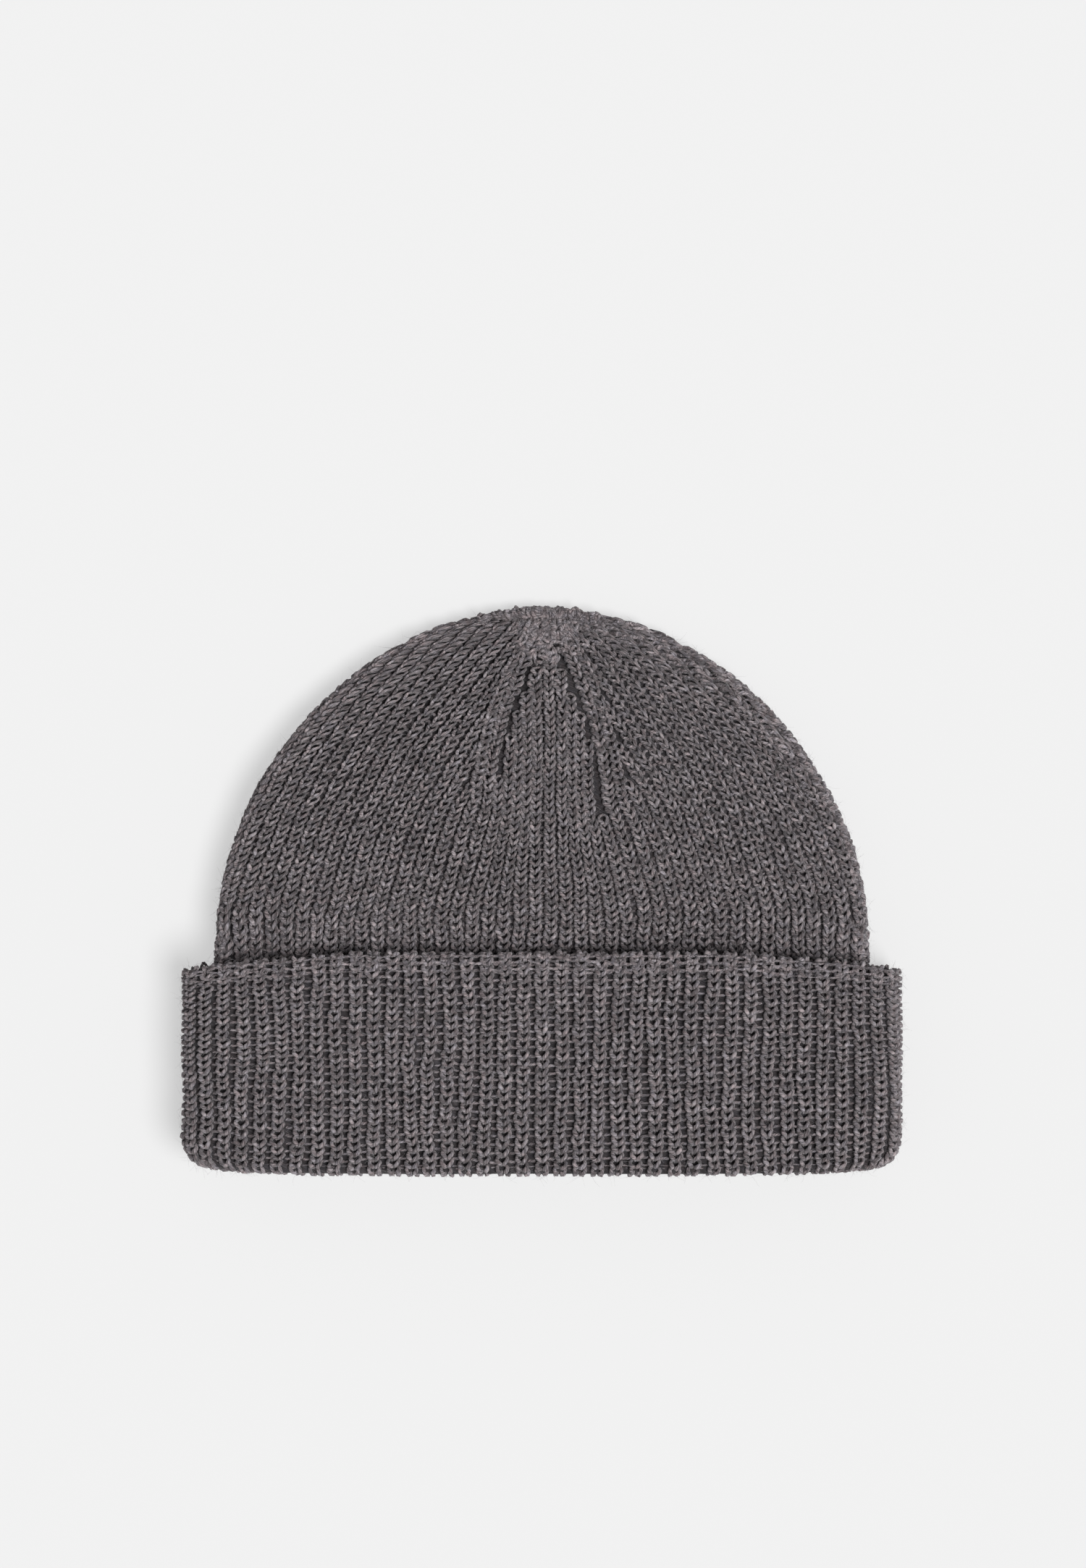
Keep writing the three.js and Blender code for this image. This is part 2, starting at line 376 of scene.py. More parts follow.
class KnitPatch:
    """A knitted surface as a grid of points, rows along it and wales round it."""

    def __init__(self, points: Array) -> None:
        """Keeps the grid and measures the way along its front centre.

        Args:
            points: Rows of COLUMNS points each.
        """
        self.points = points
        column = points[:, int(FRONT_CENTRE * COLUMNS_PER_WALE)]
        steps = np.linalg.norm(np.diff(column, axis=0), axis=1)
        self.travel = np.concatenate([[0.0], np.cumsum(steps)])
        self.facing = self.normals()

    @property
    def length(self) -> float:
        """The way along the front centre."""
        return float(self.travel[-1])

    def at(self, travel: Array, wale: Array) -> Array:
        """Points of the surface, at distances along it and at places round it in wales."""
        return self.sampled(self.points, travel, wale)

    def lifted(self, travel: Array, wale: Array, out: Array) -> Array:
        """Points at distances off the surface."""
        facing = unit(self.sampled(self.facing, travel, wale))
        return self.at(travel, wale) + facing * out[..., None]

    def sampled(self, grid: Array, travel: Array, wale: Array) -> Array:
        """Values of a grid over the surface, blended between its four nearest.

        Args:
            grid: Values at the surface's points.
            travel: Distances along it.
            wale: Places round it, in wales.

        Returns:
            The values.
        """
        rows, columns = grid.shape[:2]
        row = np.interp(travel, self.travel, np.arange(rows))
        column = np.mod(wale, WALES) * COLUMNS_PER_WALE
        r0 = np.clip(np.floor(row).astype(int), 0, rows - 2)
        c0 = np.floor(column).astype(int) % columns
        c1 = (c0 + 1) % columns
        fr = (row - r0)[..., None]
        fc = (column - np.floor(column))[..., None]
        low = grid[r0, c0] * (1.0 - fc) + grid[r0, c1] * fc
        high = grid[r0 + 1, c0] * (1.0 - fc) + grid[r0 + 1, c1] * fc
        return low * (1.0 - fr) + high * fr

    def half_round(self, travel: Array, wale: Array) -> Array:
        """Half the way round the front or the back, whichever the wales lie on.

        Args:
            travel: Distances along the surface.
            wale: Places round it.

        Returns:
            Lengths.
        """
        steps = np.linalg.norm(np.roll(self.points, -1, axis=1) - self.points, axis=-1)
        half = self.points.shape[1] // 2
        front = steps[:, :half].sum(1) / 2.0
        back = steps[:, half:].sum(1) / 2.0
        on_front = np.mod(wale, WALES) < HALF_WALES
        return np.where(
            on_front, np.interp(travel, self.travel, front), np.interp(travel, self.travel, back)
        )

    def normals(self) -> Array:
        """Unit normals, which face out of the hat where the rows run from the mouth up its outside.

        Returns:
            One for each point of the grid.
        """
        along = np.gradient(self.points, axis=0)
        around = np.roll(self.points, -1, axis=1) - np.roll(self.points, 1, axis=1)
        return unit(np.cross(along, around))


@dataclass
class SurfaceMaker:
    """Makes the grids of both shells.

    Attributes:
        form: The hat's outline.
        wobble: Uneven lie of the cloth, in and out.
        wobble_size: Its height.
        corner_power: How late crowded wales gather towards the sides.
        groove_depth, groove_reach: Depth and half width of the darts' grooves.
        dip_depth, dip_reach: Depth and width of the hollow under the rim's free edge.
        ledge_depth, ledge_width: Depth and half width of the crease inside the crown's outline.
        ledge_inside: How far inside it lies.
    """

    form: HatForm
    wobble: Ripple = field(default_factory=lambda: Ripple(11, 42 * MM))
    wobble_size: float = 0.35 * MM
    corner_power: float = 6.0
    groove_depth: float = 2.0 * MM
    groove_reach: float = 1.9 * MM
    dip_depth: float = 3.6 * MM
    dip_reach: float = 7.5 * MM
    ledge_depth: float = 2.6 * MM
    ledge_width: float = 1.4 * MM
    ledge_inside: float = 4.6 * MM

    def section(self, layer: Layer, up: float, inset: float, full: float) -> Array:
        """One closed row of points, evenly spaced round the front and round the back.

        Args:
            layer: Which shell.
            up: Distance from the folded edge.
            inset: Depth under the outer face.
            full: Half width at which the wales lie evenly; narrower rows crowd at their sides.

        Returns:
            COLUMNS points, from the +X side over the front to the -X side and back.
        """
        form = self.form
        station = form.station(layer, np.array(up), np.array(inset))
        angle = np.linspace(0.0, math.pi, 361)
        x = station.half_width * np.cos(angle)
        halves = []
        for side, sign in ((Side.FRONT, 1.0), (Side.BACK, -1.0)):
            across = x * sign
            z = form.height_at(station, across, side)
            step = np.hypot(np.diff(across), np.diff(z))
            arc = np.concatenate([[0.0], np.cumsum(step)])
            place = np.linspace(-1.0, 1.0, COLUMNS // 2 + 1)[:-1]
            crowd = max(full / max(float(station.half_width), 1e-9), 1.0) if full else 1.0
            place = crowd * place - (crowd - 1.0) * place * np.abs(place) ** (self.corner_power - 1)
            at = arc[-1] * (1.0 + place) / 2.0
            halves.append(np.stack([np.interp(at, arc, across), np.interp(at, arc, z)], -1))
        flat = np.concatenate(halves)
        y = form.y_low + form.bowed(flat[:, 0], up)
        return np.stack([flat[:, 0], y, flat[:, 1]], -1)

    def patch(self, layer: Layer, profile: Profile, full: float = 0.0) -> KnitPatch:
        """A surface with the cloth's unevenness, grooves and hollows.

        Args:
            layer: Which shell.
            profile: Points (up, inset) that it passes through.
            full: Half width at which the wales lie evenly.

        Returns:
            The surface.
        """
        rows = [self.section(layer, up, inset, full) for up, inset in profile]
        points = np.array(rows)
        push = self.wobble_size * self.wobble.at(points)
        if layer is Layer.BODY:
            push = push - self.dart_grooves(points) - self.rim_dip(points) - self.ledge(points)
        return KnitPatch(points + self.away(points) * push[..., None])

    @staticmethod
    def away(points: Array) -> Array:
        """Directions out of the hat, square to an ellipse round each row.

        Args:
            points: Rows of points round the hat.

        Returns:
            Unit vectors.
        """
        low = points.min(axis=1, keepdims=True)
        high = points.max(axis=1, keepdims=True)
        reach = np.maximum((high - low) / 2.0, 1e-6)
        out = (points - (low + high) / 2.0) / reach**2
        out[..., 1] = 0.0
        return unit(out)

    def dart_grooves(self, points: Array) -> Array:
        """Depth of the four darts' grooves in the crown.

        Args:
            points: Points of the body.

        Returns:
            Depths.
        """
        form = self.form
        up = points[..., 1] - form.y_low
        middle = form.dart_shift * (points[..., 2] > form.crown_edge)
        off = np.abs(np.abs(points[..., 0] - middle) - form.dart_half_width(up))
        along = up - form.dart_base_up
        base = smooth((along + 5 * MM) / (6 * MM))
        top = 1.0 - 0.75 * smooth((along - 0.55 * form.dart_length) / (14 * MM))
        top = top * (1.0 - smooth((along - form.dart_length) / (5 * MM)))
        return self.groove_depth * np.exp(-((off / self.groove_reach) ** 2)) * base * top

    def rim_dip(self, points: Array) -> Array:
        """Depth of the hollow that the rim's free edge presses into the body.

        Args:
            points: Points of the body.

        Returns:
            Depths.
        """
        form = self.form
        up = points[..., 1] - form.y_low
        above = up - form.cuff_height - 1.0 * MM
        reach = np.where(above > 0, self.dip_reach, 2.0 * self.dip_reach)
        front = smooth((points[..., 2] - 8 * MM) / (10 * MM))
        return self.dip_depth * front * np.exp(-((above / reach) ** 2))

    def ledge(self, points: Array) -> Array:
        """Depth of the crease where the back layer shows past the front along the crown.

        Args:
            points: Points of the body.

        Returns:
            Depths.
        """
        form = self.form
        up = points[..., 1] - form.y_low
        x = points[..., 0]
        half = form.body_width / 2.0
        rise = form.height - form.shoulder_up
        share = np.clip((up - form.shoulder_up) / rise, 0.0, 1.0)
        beside = np.maximum(half * np.sqrt(1.0 - share**form.crown_power) - np.abs(x), 0.0)
        across = np.clip(np.abs(x) / half, 0.0, 1.0)
        top = form.shoulder_up + rise * (1.0 - across**2) ** (1.0 / form.crown_power)
        above = np.maximum(top - up, 0.0)
        inside = above * beside / np.maximum(np.hypot(above, beside), 1e-6)
        crease = np.exp(-(((inside - self.ledge_inside) / self.ledge_width) ** 2))
        front = points[..., 2] > form.crown_edge / 2.0
        fade = smooth((x + 38 * MM) / (34 * MM)) * smooth((84 * MM - x) / (16 * MM))
        return self.ledge_depth * crease * front * fade


class Tracks(NamedTuple):
    """Stitch places on a surface: rows by wales."""

    travel: Array
    wale: Array
    spread: Array
    alive: Array


@dataclass
class WaleLayout:
    """Lays the wales over a surface and lets them run into the darts.

    Attributes:
        form, gauge: The hat's outline, the knit's sizes.
        wander: How far wales stray, in wales.
        lean_ups: Heights at which the side wales' lean is given.
        leans: The lean there, across for each step up.
        bow: How steeply rows rise towards the sides.
        stretch: How much wider the crown's stitches are than the gauge.
        first_lean: Distance from the middle at which wales lean fully.
        early: How far below the darts the wales are sorted.
        last_up: Where the last wales end.
        inner_stop, outer_stop: Distance of the wales beside a dart from it, in pitches.
        middle_room: Least distance of the inner ones from the middle.
        meeting: Distance at which other wales end on a dart.
    """

    form: HatForm
    gauge: KnitGauge
    wander: float = 0.06
    lean_ups: tuple[float, ...] = (0.076, 0.084, 0.096, 0.108, 0.120, 0.132, 0.144, 0.156, 0.18)
    leans: tuple[float, ...] = (0.0, 0.19, 0.28, 0.38, 0.52, 0.66, 0.76, 0.80, 0.86)
    bow: float = 0.2
    stretch: float = 0.15
    first_lean: float = 24 * MM
    early: float = 7 * MM
    last_up: float = 178.6 * MM
    inner_stop: float = 0.38
    outer_stop: float = 0.40
    middle_room: float = 0.3
    meeting: float = 0.95

    def straight(
        self, patch: KnitPatch, start: float, end: float, ribs: int, shift: float, seed: int
    ) -> Tracks:
        """Wales that keep their place, for the cuff and the layer inside it.

        Args:
            patch: The surface.
            start: Where the first row lies along it.
            end: Where the last row lies.
            ribs: How many wales there are.
            shift: Where the first wale lies, in wales.
            seed: Chooses the small wanderings.

        Returns:
            The stitch places.
        """
        rows = max(int((end - start) / self.gauge.row), 1)
        travel = np.linspace(start, end, rows)[:, None] + np.zeros((1, ribs))
        each = WALES / ribs
        wale = each * (shift + np.arange(ribs)[None, :]) + np.zeros((rows, 1))
        travel, wale = self.unsettled(patch, travel, wale, seed)
        return Tracks(travel, wale, np.full_like(wale, each), np.ones_like(wale, bool))

    def unsettled(self, patch: KnitPatch, travel: Array, wale: Array, seed: int) -> tuple[Array, Array]:
        """Adds the small wanderings of knit: each wale drifts, each row waves.

        Args:
            patch: The surface.
            travel: Even distances along it.
            wale: Even places round it.
            seed: Chooses the wanderings.

        Returns:
            The moved distances and places.
        """
        places = patch.at(travel, wale)
        slow = Ripple(seed, 34 * MM).at(places)
        quick = Ripple(seed + 1, 10 * MM).at(places)
        wale = wale + self.wander * slow + 0.5 * self.wander * quick
        waves = Ripple(seed + 2, 26 * MM).at(places)
        phase = np.random.default_rng(seed).uniform(-0.12, 0.12, (1, travel.shape[1]))
        travel = travel + self.gauge.row * (0.2 * waves + phase)
        return np.clip(travel, 0.0, patch.length), wale

    def middles(self, places: Array) -> Array:
        """Where the middle of the centre gore lies, for the layer each place is on."""
        return np.where(places[:, 2] > self.form.body_thickness / 3.0, self.form.dart_shift, 0.0)

    def crown(self, patch: KnitPatch, start: float, end: float, seed: int) -> Tracks:
        """Wales of the body, which lean towards the crown, end on the darts or pass over the edge.

        Args:
            patch: The body's surface.
            start: Where the first row lies along it.
            end: Where the last row lies.
            seed: Chooses the small wanderings.

        Returns:
            The stitch places, with the ended ones marked as not alive.
        """
        form, pitch = self.form, self.gauge.pitch
        heights = patch.points[:, int(FRONT_CENTRE * COLUMNS_PER_WALE), 1] - form.y_low
        rows = int((end - start) / self.gauge.row)
        ribs = self.gauge.body_ribs
        each = WALES / ribs
        wale = (np.arange(ribs) + 0.5) * each
        centre = np.where(wale < HALF_WALES, FRONT_CENTRE, BACK_CENTRE)
        hand = np.sign(wale - centre)
        travel = np.full(ribs, start)
        off = np.abs(wale - centre) / (HALF_WALES / 2.0) * patch.half_round(travel, wale)
        travel = travel + np.mod(self.bow * off, self.gauge.row)
        alive = np.ones(ribs, bool)
        role = np.zeros(ribs, int)
        kept, living, spread, travels = [], [], [], []
        for _ in range(rows):
            here = patch.at(travel, wale)
            up = np.interp(travel, patch.travel, heights)
            half = patch.half_round(travel, wale)
            aside = np.abs(here[:, 0] - self.middles(here))
            dart = form.dart_half_width(up)
            if not role.any() and up.mean() > form.dart_base_up - self.early:
                role = self.roles(aside, dart, hand, centre)
            alive = alive & self.still_runs(role, aside, dart, up)
            alive = alive & (off < half - 0.2 * pitch)
            travels.append(travel.copy())
            kept.append(wale.copy())
            living.append(alive.copy())
            local = half / (HALF_WALES / 2.0)
            near = np.interp(up, (0.076, 0.1), (0.0, 1.0))
            stretched = 1.0 + self.stretch * smooth((up - 0.086) / 0.03)
            spread.append((each + (pitch / local - each) * near) * stretched)
            step = self.gauge.row
            pull = np.interp(up, self.lean_ups, self.leans)
            free = smooth(aside / self.first_lean)
            move = -pull * np.where(role == Role.UNSORTED, free, 1.0) * step
            move = np.where(role == Role.CENTRE, 0.0, move)
            inner = np.maximum(dart - self.inner_stop * pitch, self.middle_room * pitch)
            edge = np.where(role == Role.BEFORE_DART, inner, dart + self.outer_stop * pitch) - aside
            guided = (role == Role.BEFORE_DART) | (role == Role.PAST_DART)
            move = np.where(guided, np.clip(0.4 * edge, -0.8 * step, 0.8 * step), move)
            travel = np.minimum(travel + step, patch.length)
            later = patch.half_round(travel, wale)
            settled = np.interp(up, (0.074, 0.088), (0.0, 1.0))
            off = off * (1.0 + (later / half - 1.0) * (1.0 - settled)) + move * settled
            off = np.maximum(off, 0.2 * MM)
            wale = centre + hand * np.minimum(off / later, 0.999) * (HALF_WALES / 2.0)
        widths = self.shared_room(np.array(kept), np.array(living), np.array(spread))
        travel, wales = self.unsettled(patch, np.array(travels), np.array(kept), seed)
        return Tracks(travel, wales, widths, np.array(living))

    @staticmethod
    def shared_room(wale: Array, alive: Array, nominal: Array) -> Array:
        """Width of each stitch: half the way to its two living neighbours, within limits.

        Args:
            wale: Places round the surface, rows by wales.
            alive: Which stitches are there.
            nominal: The usual widths.

        Returns:
            Widths, in wales.
        """
        room = nominal.copy()
        for row in range(len(wale)):
            living = np.flatnonzero(alive[row])
            if len(living) < 3:
                continue
            place = wale[row, living]
            after = np.mod(np.roll(place, -1) - place, WALES)
            width = (after + np.roll(after, 1)) / 2.0
            usual = nominal[row, living]
            room[row, living] = np.clip(width * 1.12, 0.84 * usual, 1.2 * usual)
        return room

    @staticmethod
    def between(tracks: Tracks) -> Tracks:
        """The grooves between neighbouring wales of the same rows.

        Args:
            tracks: The wales.

        Returns:
            The grooves' places.
        """
        after = np.mod(np.roll(tracks.wale, -1, axis=1) - tracks.wale, WALES)
        both = tracks.alive & np.roll(tracks.alive, -1, axis=1) & (after < 1.8 * tracks.spread)
        travel = (tracks.travel + np.roll(tracks.travel, -1, axis=1)) / 2.0
        return Tracks(travel, tracks.wale + after / 2.0, np.minimum(after, 1.3 * tracks.spread), both)

    @staticmethod
    def roles(aside: Array, dart: Array, hand: Array, centre: Array) -> Array:
        """Sorts the wales at the darts' lower ends.

        Args:
            aside: Distances from the gore's middle.
            dart: Distances of the dart from it.
            hand: -1 or 1, the side of the middle.
            centre: The middle's place, front or back.

        Returns:
            A Role for each wale.
        """
        role = np.where(aside < dart, Role.CENTRE, Role.OUTER)
        for side in (-1.0, 1.0):
            for middle in (FRONT_CENTRE, BACK_CENTRE):
                mine = (hand == side) & (centre == middle)
                inner = np.flatnonzero(mine & (role == Role.CENTRE))
                outer = np.flatnonzero(mine & (role == Role.OUTER))
                role[inner[np.argmax(aside[inner])]] = Role.BEFORE_DART
                role[outer[np.argmin(aside[outer])]] = Role.PAST_DART
        return role

    def still_runs(self, role: Array, aside: Array, dart: Array, up: Array) -> Array:
        """Finds the wales that have not yet met their dart.

        Args:
            role: What roles() gave.
            aside: Distances from the gore's middle.
            dart: Distances of the dart from it.
            up: Distances from the folded edge.

        Returns:
            True where a wale goes on.
        """
        pitch = self.gauge.pitch
        centre = role == Role.CENTRE
        ended = centre & (aside > dart - self.meeting * pitch) & (aside > 0.6 * pitch)
        ended |= (role == Role.OUTER) & (aside < dart + self.meeting * pitch)
        ended |= (role == Role.BEFORE_DART) & (dart < 0.5 * pitch)
        ended |= centre & (dart < pitch)
        ended |= up > self.last_up
        return ~ended


@dataclass(frozen=True)
class LoopShape:
    """One stitch: a hairpin of yarn whose two legs make a V.

    Points are (across, along, out) in millimetres for the right half, from the foot that comes
    through the stitch below to the head that goes behind the stitch above.

    Attributes:
        pitch: Width of knit that it is drawn for.
        row: Height of knit that it is drawn for.
        radius: The yarn's radius.
        steps: Spans along it.
        sides: Sides of its section.
        half: Its right half's points.
    """

    pitch: float = 5.8 * MM
    row: float = 2.29 * MM
    radius: float = 0.68 * MM
    steps: int = 16
    sides: int = 6
    half: tuple[tuple[float, float, float], ...] = (
        (0.34, -0.90, -1.80),
        (0.36, -0.42, -0.80),
        (0.62, 0.00, 0.32),
        (1.14, 0.42, 0.84),
        (1.58, 0.84, 0.62),
        (1.74, 1.40, -0.25),
        (1.20, 2.28, -1.10),
        (0.00, 2.60, -1.25),
    )

    def path(self, rng: np.random.Generator, unrest: float) -> Array:
        """The hairpin's centre line, a little different each time.

        Args:
            rng: Random source.
            unrest: Spread of its points.

        Returns:
            Points along it.
        """
        right = np.array(self.half) * MM
        left = right[::-1][1:] * np.array([-1.0, 1.0, 1.0])
        points = np.concatenate([right, left])
        points = points + rng.normal(0.0, unrest, points.shape)
        return resample(points, self.steps + 1)


# The short bar of yarn at the bottom of the groove between two wales.
GROOVE_BAR = LoopShape(
    pitch=5.0 * MM,
    radius=0.52 * MM,
    steps=6,
    sides=5,
    half=((1.60, -0.30, -2.00), (1.05, 0.05, -1.65), (0.45, 0.22, -1.42), (0.0, 0.25, -1.35)),
)


def resample(points: Array, count: int) -> Array:
    """Evenly spaced points on a Catmull-Rom curve.

    Args:
        points: Points that it passes through.
        count: How many to make.

    Returns:
        The new points.
    """
    padded = np.concatenate([2 * points[:1] - points[1:2], points, 2 * points[-1:] - points[-2:-1]])
    fine = []
    t = np.linspace(0.0, 1.0, 12, endpoint=False)[:, None]
    for k in range(1, len(padded) - 2):
        a, b, c, d = padded[k - 1 : k + 3]
        bent = (2 * a - 5 * b + 4 * c - d) * t**2 + (3 * b - a - 3 * c + d) * t**3
        fine.append(0.5 * (2 * b + (c - a) * t + bent))
    curve = np.concatenate(fine + [points[-1:]])
    steps = np.linalg.norm(np.diff(curve, axis=0), axis=1)
    along = np.concatenate([[0.0], np.cumsum(steps)])
    at = np.linspace(0.0, along[-1], count)
    return np.stack([np.interp(at, along, curve[:, axis]) for axis in range(3)], -1)


class Piece(NamedTuple):
    """Raw mesh of one repeated element: vertices, quads and their yarn coordinates."""

    vertices: Array
    quads: Array
    corners: Array


def tube(path: Array, radii: Array, sides: int, closed: bool = False) -> Piece:
    """A tube of quads along a path, with flat ends unless it closes on itself.

    Args:
        path: Centre line, (n, 3).
        radii: Radius at each point of it.
        sides: How many sides its section has.
        closed: True for a ring.

    Returns:
        The tube, with (round it, along it in millimetres) at each corner.
    """
    count = len(path)
    if closed:
        forward = unit(np.roll(path, -1, axis=0) - np.roll(path, 1, axis=0))
    else:
        forward = unit(np.gradient(path, axis=0))
    first = np.array([0.0, 0.0, 1.0]) if abs(forward[0, 2]) < 0.9 else np.array([1.0, 0.0, 0.0])
    axes = [unit(first - forward[0] * (first @ forward[0]))]
    for k in range(1, count):
        carried = axes[-1] - forward[k] * (axes[-1] @ forward[k])
        axes.append(unit(carried))
    one = np.array(axes)
    two = np.cross(forward, one)
    angle = np.arange(sides) * (2.0 * math.pi / sides)
    ring = one[:, None] * np.cos(angle)[None, :, None] + two[:, None] * np.sin(angle)[None, :, None]
    vertices = (path[:, None] + ring * np.asarray(radii).reshape(-1, 1, 1)).reshape(-1, 3)
    quads, corners = [], []
    gone = np.concatenate([[0.0], np.cumsum(np.linalg.norm(np.diff(path, axis=0), axis=1))]) / MM
    spans = count if closed else count - 1
    for k in range(spans):
        following = (k + 1) % count
        end = gone[k + 1] if k + 1 < count else gone[-1] + 1.0
        for s in range(sides):
            n = (s + 1) % sides
            quads.append((k * sides + s, k * sides + n, following * sides + n, following * sides + s))
            a, b = s / sides, (s + 1) / sides
            corners.append(((a, gone[k]), (b, gone[k]), (b, end), (a, end)))
    if not closed:
        last = (count - 1) * sides
        for s in range(1, sides - 1, 2):
            third = (s + 2) % sides
            quads.append((0, third, s + 1, s))
            quads.append((last, last + s, last + s + 1, last + third))
            corners.extend([((0.5, 0.0),) * 4, ((0.5, gone[-1]),) * 4])
    return Piece(vertices, np.array(quads), np.array(corners))


class Frames(NamedTuple):
    """Where elements stand: origin, across, along and out axes, and scales across and along."""

    origin: Array
    across: Array
    along: Array
    out: Array
    scale: Array


# How far a leaning stitch turns from square to its wale towards the way round.
ROW_SLACK = 0.3
# Limits of a stitch's scales, across and along.
SMALLEST_STITCH = (0.72, 0.35)
LARGEST_STITCH = (1.6, 1.06)


class Laid(NamedTuple):
    """Stitches on a surface: places, and what a step along and across does to them."""

    patch: KnitPatch
    travel: Array
    wale: Array
    along: Array
    across: Array
    frames: Frames

    def only(self, keep: Array) -> "Laid":
        """The stitches that keep marks."""
        parts = [part[keep] for part in self[1:5]]
        return Laid(self.patch, *parts, subset(self.frames, keep))


def lay(patch: KnitPatch, tracks: Tracks, shape: LoopShape) -> Laid:
    """Stitches on a surface, for the places that are alive.

    Args:
        patch: The surface.
        tracks: The stitch places.
        shape: The stitch.

    Returns:
        The laid stitches.
    """
    travel, wale = tracks.travel, tracks.wale
    rows = travel.shape[0]
    later = np.minimum(np.arange(rows) + 1, rows - 1)
    before = np.maximum(np.arange(rows) - 1, 0)
    origin = patch.at(travel, wale)
    run = origin[later] - origin[before]
    run = run / np.maximum(later - before, 1)[:, None, None]
    around = patch.at(travel, wale + 0.5) - patch.at(travel, wale - 0.5)
    along = unit(run)
    out = unit(np.cross(along, around))
    across = np.cross(along, out)
    square = np.sum(around * across, -1, keepdims=True)
    across = unit(across + ROW_SLACK * np.sign(square) * unit(around))
    pitch = np.abs(square[..., 0]) * tracks.spread
    row = np.linalg.norm(run, axis=-1)
    scale = np.stack([pitch / shape.pitch, row / shape.row], -1)
    scale = np.clip(scale, SMALLEST_STITCH, LARGEST_STITCH)
    turn = unit(around)
    forth = unit(np.cross(turn, out))
    reach = np.linalg.norm(around, axis=-1)
    steps = [np.stack([np.sum(v * forth, -1), np.sum(v * turn, -1) / reach], -1) for v in (along, across)]
    keep = tracks.alive
    frames = Frames(origin[keep], across[keep], along[keep], out[keep], scale[keep])
    return Laid(patch, travel[keep], wale[keep], steps[0][keep], steps[1][keep], frames)


def subset(frames: Frames, keep: Array) -> Frames:
    """The frames that keep marks."""
    return Frames(*(part[keep] for part in frames))


def wrapped(laid: Laid, chosen: Array, u: Array, v: Array, w: Array) -> Array:
    """Points of stitches bent round their surface.

    Args:
        laid: The stitches.
        chosen: Which of them.
        u: Distances across, one row for each stitch.
        v: Distances along.
        w: Distances off the surface.

    Returns:
        The points.
    """
    along, across = laid.along[chosen], laid.across[chosen]
    travel = laid.travel[chosen][:, None] + v * along[:, :1] + u * across[:, :1]
    wale = laid.wale[chosen][:, None] + v * along[:, 1:] + u * across[:, 1:]
    return laid.patch.lifted(travel, wale, w)


